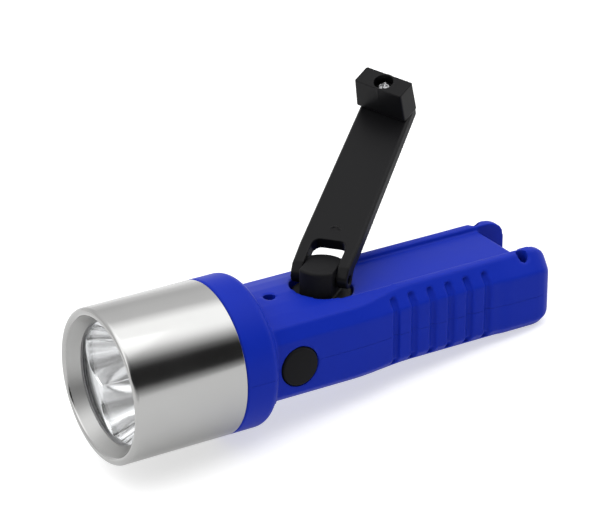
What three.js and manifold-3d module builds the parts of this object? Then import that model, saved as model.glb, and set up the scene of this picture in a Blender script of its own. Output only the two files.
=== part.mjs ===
// A hand crank flashlight: a metal head, a blue moulded handle in two halves, a folding crank on a turntable,
// and inside it a step-up gear train, a dynamo, three cells, a switch and a three-lobed reflector.
//
// Lengths are in millimetres. X runs from the lens to the tail, +Z is the side with the crank, and the button
// faces -Y. Places along X are measured from the front rim. The finished part is then shifted so that its
// origin lies on the axis of the head, in the flat face of the tail end.

import * as THREE from "three";
import { mergeVertices } from "three/addons/utils/BufferGeometryUtils.js";
import Module from "manifold-3d";

const wasm = await Module();
wasm.setup();

// Clearances
const seatGap = 0.3;
const runGap = 0.3;
const overrun = 1;
const weldTolerance = 0.001;

// Facets of round work
const fineFacets = 52;
const midFacets = 32;
const smallFacets = 16;
const cornerSteps = 2;

// Head sleeve: a drawn tube whose front end is turned in as a tapered lip
const headRadius = 25;
const sleeveLength = 38.5;
const sleeveWall = 0.8;
const rimRound = 1.4;
const lipRimWidth = 2.8;
const lipTaperWidth = 2.5;
const lipDepth = 4.6;

// Lens, gasket and reflector
const gasketThickness = 0.5;
const gasketWidth = 3.6;
const lensThickness = 1.8;
const flangeThickness = 1.2;
const dishSetback = 6.7;
const dishDepth = 4;
const bowlDepth = 16.8;
const bowlMouthRadius = 11.8;
const bowlCircleRadius = 8;
const bowlCount = 3;
const reflectorFloor = 1.2;
const reflectorWall = 1.3;
const ledRadius = 2.5;
const ledBaseHeight = 1.6;
const ledBoardThickness = 1.6;
const ledBoardRadius = 13.5;

// Collar behind the head, with the spigot that the sleeve slides over
const collarEnd = 51;
const collarRound = 3.4;
const spigotLength = 8;
const spigotWall = 2.2;
const collarFillet = 1.6;

// Handle. Places near its tail are set back from the tail's end.
const overallLength = 159;
const wall = 2.4;
const rampSetback = 1.35;
const rampLength = 22;
const flareInset = 22;
const flareLength = 4.5;
const tailRound = 6.5;
const creaseRound = 1.2;
const shoulderRound = 1.6;
const partingGap = 0.3;

// Half sections of the handle. Each is measured from the axis of the head.
const frontSection = {
  crown: 2.5,
  creaseHalf: 17,
  creaseHeight: 12.9,
  sideHalf: 19.8,
  shoulder: 8.6,
  lowShoulder: 9.4,
  soleHalf: 16.6,
  soleDepth: 12.4,
};
const gripSection = {
  crown: 0,
  creaseHalf: 13.85,
  creaseHeight: 14.5,
  sideHalf: 18.6,
  shoulder: 8.6,
  lowShoulder: 8.3,
  soleHalf: 15.6,
  soleDepth: 11.7,
};
const tailSection = {
  crown: 0,
  creaseHalf: 13.9,
  creaseHeight: 14.5,
  sideHalf: 19.2,
  shoulder: 8.6,
  lowShoulder: 8.3,
  soleHalf: 16,
  soleDepth: 11.7,
};
const endSection = {
  crown: 0,
  creaseHalf: 11.9,
  creaseHeight: 9.4,
  sideHalf: 13.2,
  shoulder: 5.8,
  lowShoulder: 5.2,
  soleHalf: 12,
  soleDepth: 7.6,
};

// Grip grooves
const grooveCount = 6;
const grooveRunIn = 8;
const grooveRunOut = 3.15;
const grooveWidth = 2.5;
const grooveDepth = 1.2;
const grooveTop = 12.4;

// Crank well, stowing channel and tail notch
const hubSetback = 29.65;
const wellRadius = 10.3;
const wellFloorHeight = 9;
const wellFloorThickness = 2.1;
const wellWall = 1.8;
const channelHalf = 10.6;
const channelFloorHeight = 13;
const channelFloorThickness = 2.1;
const channelCorner = 0.5;
const notchHalf = 10.5;
const notchLength = 10.8;
const notchFloorHeight = 1;
const notchWall = 2;

// Casing screws
const screwHoleRadius = 2.15;
const screwHeadRadius = 1.8;
const screwHeadHeight = 1.5;
const screwShankRadius = 1;
const screwSeatHeight = 3.4;
const screwDepth = 9;
const bossRadius = 3.25;
const frontScrewSetback = 10.3;
const tailScrewInset = 10.2;
const tailScrewHalf = 13.75;

// Push button, switch and circuit board
const buttonSetback = 9.5;
const buttonHeight = -0.6;
const buttonRadius = 6.5;
const buttonGap = 0.5;
const buttonProud = 0.7;
const buttonDome = 0.6;
const buttonFlange = 0.7;
const buttonFlangeThickness = 1;
const buttonTravel = 1.2;
const stemRadius = 1.8;
const stemLength = 1.6;
const switchWidth = 8;
const switchDepth = 3.6;
const boardThickness = 1.5;
const boardLength = 15;
const boardTop = 9;

// Crank hub
const hubRadius = 9.8;
const hubTopHeight = 12.6;
const shaftRadius = 4;
const pivotHeight = 17.65;
const hubEdge = 0.65;
const pillarRadius = 8;
const pillarHalf = 5.4;
const pillarTop = 4.1;
const pillarEdge = 0.4;
const bushWall = 1.2;
const bushFlange = 2;
const bushFlangeThickness = 0.8;
const shaftScrewRadius = 1.3;
const shaftScrewDepth = 5;
const shaftScrewHead = 4.6;
const shaftScrewHeadHeight = 1.2;

// Crank arm, in a frame whose Y runs along the arm and whose Z leaves its smooth face
const crankTurn = THREE.MathUtils.degToRad(-50.7);
const armLift = THREE.MathUtils.degToRad(21.35);
const armOverhang = 0.95;
const armWidthAtPivot = 19.6;
const armWidthAtFoot = 18.6;
const armTaper = 0.0197;
const armFace = 4.35;
const armThickness = 4.35;
const armEdge = 0.7;
const knuckleRadius = 3;
const windowNeck = 9.3;
const windowEnd = 12;
const windowEndHalf = 5;
const windowRound = 2.4;
const pinRadius = 1.2;

// Knob
const knobInset = 4.1;
const knobLength = 18.05;
const knobWidth = 7.6;
const knobHeight = 11.03;
const knobLengthDraft = 0.5;
const knobWidthDraft = 0.1;
const knobEdge = 0.5;
const knobTurn = THREE.MathUtils.degToRad(-16.44);
const knobRecessRadius = 2.9;
const knobRecessDepth = 3.6;
const knobScrewRadius = 1.5;
const knobScrewHead = 2.25;
const knobScrewHeadHeight = 1.6;
const knobScrewBite = 3;

// Gear train
const driveTeeth = 33;
const drivenTeeth = 9;
const driveModule = 0.9;
const wheelTeeth = 36;
const rotorTeeth = 9;
const wheelModule = 0.6;
const driveThickness = 3;
const wheelThickness = 2.6;
const tierGap = 0.7;
const axleRadius = 1;
const axleBossWall = 1.8;
const pressureAngle = THREE.MathUtils.degToRad(20);
const addendumShare = 0.8;
const dedendumShare = 1.15;
const toothSlackShare = 0.24;

// Dynamo and its plate
const plateThickness = 1.6;
const plateCorner = 3;
const plateHalf = 14;
const postRadius = 2;
const postSetback = 14.85;
const postSideHalf = 11.5;
const magnetRadius = 6;
const magnetInset = 0.6;
const poleGap = 0.6;
const statorWall = 1.2;
const windingThickness = 4;

// Rechargeable cells
const cellRadius = 7.3;
const cellThickness = 6;
const cellCount = 3;
const cellInset = 20.5;
const cellRimRound = 0.6;
const cradleThickness = 1.6;
const cradleHalf = 6.4;
const cradlePlace = 6;
const cradleHeight = 5;

// Sizes that follow from the ones above
const hubX = collarEnd + hubSetback;
const rampStart = hubX + rampSetback;
const rampEnd = rampStart + rampLength;
const flareStart = overallLength - flareInset;
const flareEnd = flareStart + flareLength;
const notchStart = overallLength - notchLength;
const grooveStart = rampEnd - grooveRunIn;
const groovePitch = (flareStart - grooveStart - grooveWidth - grooveRunOut) / (grooveCount - 1);
const frontScrewX = collarEnd + frontScrewSetback;
const tailScrewX = overallLength - tailScrewInset;
const buttonX = collarEnd + buttonSetback;
const postSideX = hubX + postSetback;
const cellX = overallLength - cellInset;
const armLength = overallLength - hubX + armOverhang;
const knobPlace = armLength - knobInset;
const forkHalf = pillarHalf + runGap;
const lipBack = lipDepth;
const gasketFront = lipBack + 0.5 * seatGap;
const lensFront = gasketFront + gasketThickness + seatGap;
const flangeFront = lensFront + lensThickness + seatGap;
const lipMouthRadius = headRadius - lipRimWidth;
const lipThroatRadius = lipMouthRadius - lipTaperWidth;
const boreRadius = headRadius - sleeveWall;
const insertRadius = boreRadius - seatGap;
const dishRadius = insertRadius - dishSetback;
const reflectorBack = flangeFront + bowlDepth + reflectorFloor;
const boardFront = reflectorBack + seatGap;
const spigotStart = sleeveLength - spigotLength;
const collarFace = sleeveLength + seatGap;
const channelUnderside = channelFloorHeight - channelFloorThickness;
const wellUnderside = wellFloorHeight - wellFloorThickness;
const soleInside = wall - gripSection.soleDepth;
const boardFloor = wall - frontSection.soleDepth;
const bushOuter = shaftRadius + runGap + bushWall;
const bushTop = wellUnderside - seatGap;
const bushBottom = bushTop - bushFlangeThickness;
const driveTop = bushBottom - runGap;
const driveBottom = driveTop - driveThickness;
const wheelTop = driveBottom - tierGap;
const wheelBottom = wheelTop - wheelThickness;
const plateTop = wheelBottom - tierGap;
const plateBottom = plateTop - plateThickness;
const statorTop = plateBottom - seatGap;
const statorBottom = soleInside + seatGap;
const firstStage = (driveModule * (driveTeeth + drivenTeeth)) / 2;
const secondStage = (wheelModule * (wheelTeeth + rotorTeeth)) / 2;
const axleX = hubX + firstStage;
const rotorX = axleX + secondStage;
const poleRadius = magnetRadius + poleGap;
const statorRadius = poleRadius + windingThickness + 2 * seatGap + statorWall;
const postEndX = rotorX + statorRadius + seatGap + postRadius;
const buttonSeat = -frontSection.sideHalf + wall + seatGap;
const knobBase = armFace + runGap;

// Materials, with the colours of the photograph
const polishedMetal = finish(0xc4c4c2, 0.25, 1);
const blackPlastic = finish(0x1c1c1e, 0.5, 0);
const bluePlastic = finish(0x0f2fd6, 0.45, 0);
const silicone = finish(0x8f9094, 0.6, 0);
const clearPlastic = new THREE.MeshStandardMaterial({
  color: 0xe8eef2,
  roughness: 0.05,
  transparent: true,
  opacity: 0.35,
});
const chromedPlastic = finish(0xe0e0e0, 0.06, 1);
const ledResin = finish(0xf2e6a8, 0.25, 0);
const boardGreen = finish(0x2d6b3c, 0.55, 0);
const brightSteel = finish(0xd0d2d4, 0.22, 1);
const whiteNylon = finish(0xe9e6da, 0.5, 0);
const brass = finish(0xc2a04a, 0.35, 1);
const copper = finish(0xb5652f, 0.4, 1);
const magnetGrey = finish(0x4a4a4e, 0.6, 0.4);

function finish(color, roughness, metalness) {
  return new THREE.MeshStandardMaterial({ color, roughness, metalness });
}

// Solids: making, placing, joining and cutting

// A closed three.js geometry as a solid, with its faces turned outwards.
function solid(geometry) {
  const bare = geometry.index ? geometry.toNonIndexed() : geometry.clone();
  bare.deleteAttribute("normal");
  bare.deleteAttribute("uv");
  const merged = mergeVertices(bare, weldTolerance);
  const place = merged.attributes.position;
  const corners = [];
  const [a, b, c] = [new THREE.Vector3(), new THREE.Vector3(), new THREE.Vector3()];
  let volume = 0;
  for (let i = 0; i < merged.index.count; i += 3) {
    const [p, q, r] = [0, 1, 2].map((k) => merged.index.getX(i + k));
    if (p === q || q === r || r === p) continue;
    corners.push(p, q, r);
    a.fromBufferAttribute(place, p);
    b.fromBufferAttribute(place, q);
    c.fromBufferAttribute(place, r);
    volume += a.dot(b.cross(c));
  }
  const turned = volume < 0 ? corners.reverse() : corners;
  return new wasm.Manifold(
    new wasm.Mesh({
      numProp: 3,
      vertProperties: place.array,
      triVerts: new Uint32Array(turned),
    }),
  );
}

function join(first, ...rest) {
  return rest.reduce((sum, next) => sum.add(next), first);
}

function cut(first, ...rest) {
  return rest.reduce((left, next) => left.subtract(next), first);
}

// A solid as three.js geometry with flat faces.
function geometryOf(body) {
  const mesh = body.getMesh();
  const geometry = new THREE.BufferGeometry();
  geometry.setAttribute("position", new THREE.BufferAttribute(mesh.vertProperties, mesh.numProp));
  geometry.setIndex(new THREE.BufferAttribute(mesh.triVerts, 1));
  const flat = geometry.toNonIndexed();
  flat.computeVertexNormals();
  return flat;
}

function piece(name, body, material, parent) {
  const mesh = new THREE.Mesh(geometryOf(body), material);
  mesh.name = name;
  parent.add(mesh);
  return mesh;
}

// Round work turned about X: profile points are [place, radius].
function turnedAlong(profile, facets, y = 0, z = 0) {
  const points = profile.map(([place, radius]) => new THREE.Vector2(radius, place));
  const geometry = new THREE.LatheGeometry(points, facets);
  geometry.rotateZ(-Math.PI / 2);
  geometry.translate(0, y, z);
  return solid(geometry);
}

// Round work turned about a vertical axis: profile points are [height, radius].
function turnedUp(profile, facets, x = 0, y = 0) {
  const points = profile.map(([height, radius]) => new THREE.Vector2(radius, height));
  const geometry = new THREE.LatheGeometry(points, facets);
  geometry.rotateX(Math.PI / 2);
  geometry.translate(x, y, 0);
  return solid(geometry);
}

// Round work turned about Y: profile points are [place along Y, radius].
function turnedAcross(profile, facets, x = 0, z = 0) {
  const points = profile.map(([place, radius]) => new THREE.Vector2(radius, place));
  const geometry = new THREE.LatheGeometry(points, facets);
  geometry.translate(x, 0, z);
  return solid(geometry);
}

function bar(from, to, radius) {
  return [
    [from, 0],
    [from, radius],
    [to, radius],
    [to, 0],
  ];
}

function ring(from, to, inner, outer) {
  return [
    [from, inner],
    [from, outer],
    [to, outer],
    [to, inner],
    [from, inner],
  ];
}

// A box between two corners.
function block(low, high) {
  const size = high.map((value, i) => value - low[i]);
  const geometry = new THREE.BoxGeometry(...size);
  geometry.translate(...high.map((value, i) => (value + low[i]) / 2));
  return solid(geometry);
}

// Points of an arc about a centre, from one angle to another, both included.
function arc(centre, radius, from, to, steps) {
  return Array.from({ length: steps + 1 }, (_, i) => {
    const angle = from + ((to - from) * i) / steps;
    return [centre[0] + radius * Math.cos(angle), centre[1] + radius * Math.sin(angle)];
  });
}

function shapeOf(points) {
  return new THREE.Shape(points.map(([x, y]) => new THREE.Vector2(x, y)));
}

// A flat outline in X and Y, raised from one height to another.
function raised(points, from, to) {
  const geometry = new THREE.ExtrudeGeometry(shapeOf(points), { depth: to - from, bevelEnabled: false });
  geometry.translate(0, 0, from);
  return solid(geometry);
}

// An outline in Y and Z, carried along X.
function carriedAlong(points, from, to) {
  const geometry = new THREE.ExtrudeGeometry(shapeOf(points), { depth: to - from, bevelEnabled: false });
  geometry.rotateX(Math.PI / 2);
  geometry.rotateZ(Math.PI / 2);
  geometry.translate(from, 0, 0);
  return solid(geometry);
}

// An outline in X and Z, carried along Y.
function carriedAcross(points, from, to) {
  const geometry = new THREE.ExtrudeGeometry(shapeOf(points), { depth: to - from, bevelEnabled: false });
  geometry.rotateX(Math.PI / 2);
  geometry.translate(0, to, 0);
  return solid(geometry);
}

// Rounds each corner of an outline by its own radius.
function rounded(corners, radii, steps) {
  return corners.flatMap(([x, y], i) => {
    if (!radii[i]) return [[x, y]];
    const corner = new THREE.Vector2(x, y);
    const before = new THREE.Vector2(...corners.at(i - 1)).sub(corner).normalize();
    const after = new THREE.Vector2(...corners[(i + 1) % corners.length]).sub(corner).normalize();
    const half = Math.acos(THREE.MathUtils.clamp(before.dot(after), -1, 1)) / 2;
    const start = before.clone().multiplyScalar(radii[i] / Math.tan(half)).add(corner);
    const toCentre = before.clone().add(after).setLength(radii[i] / Math.sin(half));
    const centre = corner.clone().add(toCentre);
    const first = start.clone().sub(centre);
    const turn = (Math.PI - 2 * half) * Math.sign(after.cross(before));
    return Array.from({ length: steps + 1 }, (_, k) => {
      const point = first.clone().rotateAround(new THREE.Vector2(), (turn * k) / steps).add(centre);
      return [point.x, point.y];
    });
  });
}

// Sides that turn by less than this, in radians, are taken as one straight side.
const straightBend = 1e-6;

// Moves each side of a convex outline inwards by the same distance.
function shrunk(corners, distance) {
  const sides = corners.map(([x, y], i) => {
    const [nextX, nextY] = corners[(i + 1) % corners.length];
    const along = new THREE.Vector2(nextX - x, nextY - y).normalize();
    const inward = new THREE.Vector2(along.y, -along.x);
    return { along, start: new THREE.Vector2(x, y).addScaledVector(inward, distance) };
  });
  return sides.map((side, i) => {
    const last = sides.at(i - 1);
    const bend = last.along.cross(side.along);
    if (Math.abs(bend) < straightBend) return [side.start.x, side.start.y];
    const reach = side.start.clone().sub(last.start).cross(side.along) / bend;
    const corner = last.start.clone().addScaledVector(last.along, reach);
    return [corner.x, corner.y];
  });
}

// Skins a stack of convex outlines in Y and Z, each at its own place along X, and closes both ends. The
// function laid turns the three lengths into a point, for a stack along another axis.
function lofted(outlines, laid = (x, y, z) => [x, y, z]) {
  const places = [];
  const faces = [];
  const count = outlines[0].points.length;
  outlines.forEach(({ x, points }) => points.forEach(([y, z]) => places.push(...laid(x, y, z))));
  for (let i = 0; i + 1 < outlines.length; i++) {
    for (let k = 0; k < count; k++) {
      const [a, b] = [i * count + k, i * count + ((k + 1) % count)];
      faces.push(a, b, b + count, a, b + count, a + count);
    }
  }
  const addEnd = (outline, first, turned) => {
    const middle = [0, 1].map((axis) => outline.points.reduce((sum, point) => sum + point[axis], 0) / count);
    places.push(...laid(outline.x, ...middle));
    const tip = places.length / 3 - 1;
    for (let k = 0; k < count; k++) {
      const [a, b] = [first + k, first + ((k + 1) % count)];
      faces.push(tip, ...(turned ? [b, a] : [a, b]));
    }
  };
  addEnd(outlines[0], 0, true);
  addEnd(outlines.at(-1), (outlines.length - 1) * count, false);
  const geometry = new THREE.BufferGeometry();
  geometry.setAttribute("position", new THREE.Float32BufferAttribute(places, 3));
  geometry.setIndex(faces);
  return solid(geometry);
}

// A solid between a lower and an upper outline in X and Y that have the same number of points.
function drafted(lower, upper, from, to) {
  const outlines = [
    { x: from, points: lower },
    { x: to, points: upper },
  ];
  return lofted(outlines, (height, x, y) => [x, y, height]);
}

// Handle sections

function mixed(first, second, share) {
  const keys = Object.keys(first);
  return Object.fromEntries(keys.map((key) => [key, first[key] + (second[key] - first[key]) * share]));
}

// The section of the handle at one place along it, before its corners are rounded.
function sectionAt(x) {
  const { smoothstep } = THREE.MathUtils;
  if (x <= rampEnd) return mixed(frontSection, gripSection, smoothstep(x, rampStart, rampEnd));
  if (x <= flareEnd) return mixed(gripSection, tailSection, smoothstep(x, flareStart, flareEnd));
  const round = Math.max(0, (x - (overallLength - tailRound)) / tailRound);
  return mixed(tailSection, endSection, 1 - Math.sqrt(Math.max(0, 1 - round * round)));
}

// How far the handle swells where it runs into the collar, as a quarter-round fillet.
function filletAt(x) {
  const reach = THREE.MathUtils.clamp(1 - (x - collarEnd) / collarFillet, 0, 1);
  return collarFillet * (1 - Math.sqrt(1 - reach * reach));
}

// Corners in Y and Z of the handle at x, before they are rounded.
function handleCorners(x) {
  const s = sectionAt(x);
  const crownPlaceShares = [-0.66, -0.33, 0, 0.33, 0.66];
  const crown = crownPlaceShares.map((share) => [
    share * s.creaseHalf,
    s.creaseHeight + s.crown * (1 - share * share),
  ]);
  return [
    [-s.creaseHalf, s.creaseHeight],
    ...crown,
    [s.creaseHalf, s.creaseHeight],
    [s.sideHalf, s.shoulder],
    [s.sideHalf, -s.lowShoulder],
    [s.soleHalf, -s.soleDepth],
    [-s.soleHalf, -s.soleDepth],
    [-s.sideHalf, -s.lowShoulder],
    [-s.sideHalf, s.shoulder],
  ];
}

function evenly(from, to, steps) {
  return Array.from({ length: steps + 1 }, (_, i) => from + ((to - from) * i) / steps);
}

// The outer form of the handle, with its creases rounded and its foot swelling into the collar.
function handleOutside(from) {
  const crease = [creaseRound, 0, 0, 0, 0, 0, creaseRound];
  const radii = [...crease, ...Array(6).fill(shoulderRound)];
  const tailPlaces = evenly(0, Math.PI / 2, 5).map(
    (angle) => overallLength - tailRound * (1 - Math.sin(angle)),
  );
  const places = [
    from,
    ...evenly(collarEnd, collarEnd + collarFillet, 3),
    ...evenly(rampStart, rampEnd, 6),
    ...evenly(flareStart, flareEnd, 3),
    ...tailPlaces,
  ];
  const outlines = places.map((x) => {
    const swell = filletAt(x);
    const corners = swell > 0 ? shrunk(handleCorners(x), -swell) : handleCorners(x);
    return { x, points: rounded(corners, radii, cornerSteps) };
  });
  return lofted(outlines);
}

// The handle moved inwards by a distance, with plain corners, from one place to another.
function handleInside(from, to, distance) {
  const bends = [...evenly(rampStart, rampEnd, 3), flareStart, flareEnd, overallLength - tailRound];
  const places = [from, ...bends.filter((x) => x > from && x < to), to];
  return lofted(places.map((x) => ({ x, points: shrunk(handleCorners(x), distance) })));
}

// Casing

function collarOutside() {
  const edge = arc([collarEnd - collarRound, headRadius - collarRound], collarRound, Math.PI / 2, 0, 5);
  return turnedAlong(
    [
      [spigotStart, 0],
      [spigotStart, insertRadius],
      [collarFace, insertRadius],
      [collarFace, headRadius],
      ...edge,
      [collarEnd, 0],
    ],
    fineFacets,
  );
}

// Upright round screw pillars, front centre and one in each tail tower.
const screwPlaces = [
  ["casing_screw_front", frontScrewX, 0],
  ["casing_screw_near", tailScrewX, -tailScrewHalf],
  ["casing_screw_far", tailScrewX, tailScrewHalf],
];

function upright(radius, x, y, from, to) {
  return turnedUp(bar(from, to, radius), smallFacets, x, y);
}

// The hollow inside the casing, left full where the well, channel, notch and screw pillars stand.
function cavity() {
  const top = headRadius + overrun;
  const boreEnd = collarEnd - wall;
  const spigotBore = turnedAlong(bar(spigotStart - overrun, boreEnd, insertRadius - spigotWall), fineFacets);
  const throat = handleInside(boreEnd - overrun, overallLength - wall, wall);
  const well = upright(wellRadius + wellWall, hubX, 0, wellUnderside, top);
  const channelReach = channelHalf + wall;
  const channel = block([hubX, -channelReach, channelUnderside], [notchStart, channelReach, top]);
  const notch = block(
    [notchStart - notchWall, -notchHalf - notchWall, notchFloorHeight - notchWall],
    [overallLength, notchHalf + notchWall, top],
  );
  const pillars = screwPlaces.map(([, x, y]) => upright(bossRadius, x, y, -headRadius, top));
  const axleBoss = upright(axleRadius + runGap + axleBossWall, axleX, 0, driveTop + 2 * tierGap, top);
  return cut(join(spigotBore, throat), well, channel, notch, ...pillars, axleBoss);
}

// Groove cutters for both sides: upright slots with a round top, as deep as the groove all round the
// handle. They run out on the lower chamfer, where the sole begins.
function grooves() {
  const half = grooveWidth / 2;
  const foot = grooveDepth - gripSection.soleDepth;
  const slots = Array.from({ length: grooveCount }, (_, i) => {
    const x = grooveStart + half + i * groovePitch;
    const outline = [
      ...arc([x, grooveTop - half], half, 0, Math.PI, 6),
      [x - half, foot],
      [x + half, foot],
    ];
    return carriedAcross(outline, -headRadius, headRadius);
  });
  const core = handleInside(grooveStart - overrun, flareEnd + overrun, grooveDepth);
  return cut(join(...slots), core);
}

// The trough that the folded arm lies in: square floor corners softened, with flared upper edges.
function channelCutter() {
  const lip = gripSection.creaseHeight;
  const outline = rounded(
    [
      [-channelHalf - channelCorner - overrun, lip + overrun],
      [-channelHalf - channelCorner - overrun, lip],
      [-channelHalf - channelCorner, lip],
      [-channelHalf, lip - channelCorner],
      [-channelHalf, channelFloorHeight],
      [channelHalf, channelFloorHeight],
      [channelHalf, lip - channelCorner],
      [channelHalf + channelCorner, lip],
      [channelHalf + channelCorner + overrun, lip],
      [channelHalf + channelCorner + overrun, lip + overrun],
    ],
    [0, 0, 0, 0, 0.6 * channelCorner, 0.6 * channelCorner, 0, 0, 0, 0],
    2,
  );
  return carriedAlong(outline, hubX, notchStart + overrun);
}

function notchCutter() {
  return block(
    [notchStart, -notchHalf, notchFloorHeight],
    [overallLength + overrun, notchHalf, headRadius],
  );
}

// Holes for the three casing screws: wide down to the seat, then narrow into the lower half.
function screwHoles() {
  return screwPlaces.map(([, x, y]) =>
    turnedUp(
      [
        [-screwDepth - seatGap, 0],
        [-screwDepth - seatGap, screwShankRadius + seatGap],
        [screwSeatHeight, screwShankRadius + seatGap],
        [screwSeatHeight, screwHoleRadius],
        [headRadius, screwHoleRadius],
        [headRadius, 0],
      ],
      smallFacets,
      x,
      y,
    ),
  );
}

function buttonHole() {
  return turnedAcross(
    bar(-headRadius, buttonSeat - seatGap + overrun, buttonRadius + buttonGap),
    midFacets,
    buttonX,
    buttonHeight,
  );
}

function casing() {
  const outside = join(collarOutside(), handleOutside(collarEnd - collarRound));
  const hollow = cut(outside, cavity());
  const well = turnedUp(bar(wellFloorHeight, headRadius, wellRadius), fineFacets, hubX);
  const bushHole = upright(bushOuter + seatGap, hubX, 0, wellUnderside - overrun, wellFloorHeight + overrun);
  const axleHole = upright(axleRadius + runGap, axleX, 0, soleInside, channelUnderside - seatGap);
  return cut(
    hollow,
    grooves(),
    well,
    channelCutter(),
    notchCutter(),
    bushHole,
    axleHole,
    ...screwHoles(),
    buttonHole(),
  );
}

// Posts on the floor of the lower half that carry the dynamo plate.
function platePosts() {
  return postPlaces().map(([x, y]) => upright(postRadius, x, y, soleInside - seatGap, plateBottom - seatGap));
}

function postPlaces() {
  return [
    [postSideX, -postSideHalf],
    [postSideX, postSideHalf],
    [postEndX, 0],
  ];
}

// Two ribs with round seats that cradle the cells.
function cellCradles() {
  const centre = soleInside + seatGap + cellRadius;
  const seat = turnedAcross(bar(-headRadius, headRadius, cellRadius + seatGap), midFacets, cellX, centre);
  return [-cradlePlace, cradlePlace].map((y) =>
    cut(
      block(
        [cellX - cradleHalf, y - cradleThickness / 2, soleInside - seatGap],
        [cellX + cradleHalf, y + cradleThickness / 2, soleInside + cradleHeight],
      ),
      seat,
    ),
  );
}

// A pair of ribs that hold the lower edge of the circuit board.
function boardSlots() {
  const back = boardY() + boardThickness;
  const rib = 1.2 * boardThickness;
  return [
    [boardY() - seatGap - rib, boardY() - seatGap],
    [back + seatGap, back + seatGap + rib],
  ].map(([from, to]) =>
    block(
      [buttonX - boardLength / 3, from, boardFloor - seatGap],
      [buttonX, to, boardFloor + 2 * boardThickness],
    ),
  );
}

function boardY() {
  return buttonSeat + buttonFlangeThickness + stemLength + buttonTravel + 2 * seatGap + switchDepth;
}

function buildCasing(parent) {
  const whole = casing();
  const end = overallLength + overrun;
  const side = headRadius + overrun;
  const upperSpace = block([0, -side, partingGap / 2], [end, side, 2 * headRadius]);
  const lowerSpace = block([0, -side, -2 * headRadius], [end, side, -partingGap / 2]);
  piece("body_upper", whole.intersect(upperSpace), bluePlastic, parent);
  const furniture = [...platePosts(), ...cellCradles(), ...boardSlots()];
  piece("body_lower", join(whole.intersect(lowerSpace), ...furniture), bluePlastic, parent);
  screwPlaces.forEach(([name, x, y]) => {
    const profile = [
      [-screwDepth, 0],
      [-screwDepth + screwShankRadius, screwShankRadius],
      [screwSeatHeight + seatGap, screwShankRadius],
      [screwSeatHeight + seatGap, screwHeadRadius],
      [screwSeatHeight + seatGap + 0.6 * screwHeadHeight, screwHeadRadius],
      [screwSeatHeight + seatGap + screwHeadHeight, 0.7 * screwHeadRadius],
      [screwSeatHeight + seatGap + screwHeadHeight, 0],
    ];
    piece(name, turnedUp(profile, smallFacets, x, y), brightSteel, parent);
  });
}

// Head

function buildSleeve(parent) {
  const rim = arc([rimRound, headRadius - rimRound], rimRound, Math.PI, Math.PI / 2, 4);
  const profile = [
    [0, lipMouthRadius],
    ...rim,
    [sleeveLength, headRadius],
    [sleeveLength, boreRadius],
    [lipBack, boreRadius],
    [lipBack, lipThroatRadius],
    [0, lipMouthRadius],
  ];
  piece("head_sleeve", turnedAlong(profile, fineFacets), polishedMetal, parent);
}

function buildLens(parent) {
  const inner = insertRadius - gasketWidth - seatGap;
  const gasket = ring(gasketFront, gasketFront + gasketThickness, inner, insertRadius);
  piece("lens_gasket", turnedAlong(gasket, fineFacets), silicone, parent);
  const lens = bar(lensFront, lensFront + lensThickness, insertRadius);
  piece("lens", turnedAlong(lens, fineFacets), clearPlastic, parent);
}

// Centres of the three bowls, the first straight down.
function bowlCentres() {
  return Array.from({ length: bowlCount }, (_, i) => {
    const angle = -Math.PI / 2 + (i * 2 * Math.PI) / bowlCount;
    return [bowlCircleRadius * Math.cos(angle), bowlCircleRadius * Math.sin(angle)];
  });
}

// One bowl of the reflector, a paraboloid with its mouth at the flange.
function bowl(y, z) {
  const apex = flangeFront + bowlDepth;
  const depthShares = [0, 0.04, 0.14, 0.32, 0.6, 1, 1.06];
  const profile = depthShares.map((share) => [apex - share * bowlDepth, bowlMouthRadius * Math.sqrt(share)]);
  return turnedAlong([...profile, [profile.at(-1)[0], 0]], midFacets, y, z);
}

// The reflector's back follows the bowls, one wall thickness behind their farthest reach.
function buildReflector(parent) {
  const depthShares = [0.25, 0.45, 0.65, 0.85];
  const back = depthShares.map((share) => {
    const reach = bowlCircleRadius + bowlMouthRadius * Math.sqrt(1 - share);
    return [flangeFront + share * bowlDepth, Math.min(dishRadius, reach) + reflectorWall];
  });
  const outside = turnedAlong(
    [
      [flangeFront, 0],
      [flangeFront, insertRadius],
      [flangeFront + flangeThickness, insertRadius],
      [flangeFront + flangeThickness, dishRadius + reflectorWall],
      ...back,
      [reflectorBack, bowlCircleRadius + ledRadius + seatGap + reflectorWall],
      [reflectorBack, 0],
    ],
    fineFacets,
  );
  const dish = turnedAlong(
    [
      [flangeFront - overrun, 0],
      [flangeFront - overrun, dishRadius],
      [flangeFront, dishRadius],
      [flangeFront + dishDepth, 0],
    ],
    fineFacets,
  );
  const mouth = turnedAlong(bar(flangeFront - overrun, reflectorBack, dishRadius), fineFacets);
  const bowls = bowlCentres().map(([y, z]) => bowl(y, z));
  const hollow = join(dish, join(...bowls).intersect(mouth));
  const ledHole = bar(flangeFront + dishDepth, reflectorBack + overrun, ledRadius + seatGap);
  const holes = bowlCentres().map(([y, z]) => turnedAlong(ledHole, smallFacets, y, z));
  piece("reflector", cut(outside, hollow, ...holes), chromedPlastic, parent);
}

function buildLeds(parent) {
  const back = boardFront - seatGap;
  bowlCentres().forEach(([y, z], i) => {
    const dome = arc([back - ledBaseHeight, 0], ledRadius, Math.PI, Math.PI / 2, 4);
    const profile = [...dome.slice(0, -1), [back - ledBaseHeight, ledRadius], [back, ledRadius], [back, 0]];
    piece("led_" + (i + 1), turnedAlong(profile, smallFacets, y, z), ledResin, parent);
  });
  const board = bar(boardFront, boardFront + ledBoardThickness, ledBoardRadius);
  piece("led_board", turnedAlong(board, midFacets), boardGreen, parent);
}

// Push button, switch and circuit board

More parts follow.
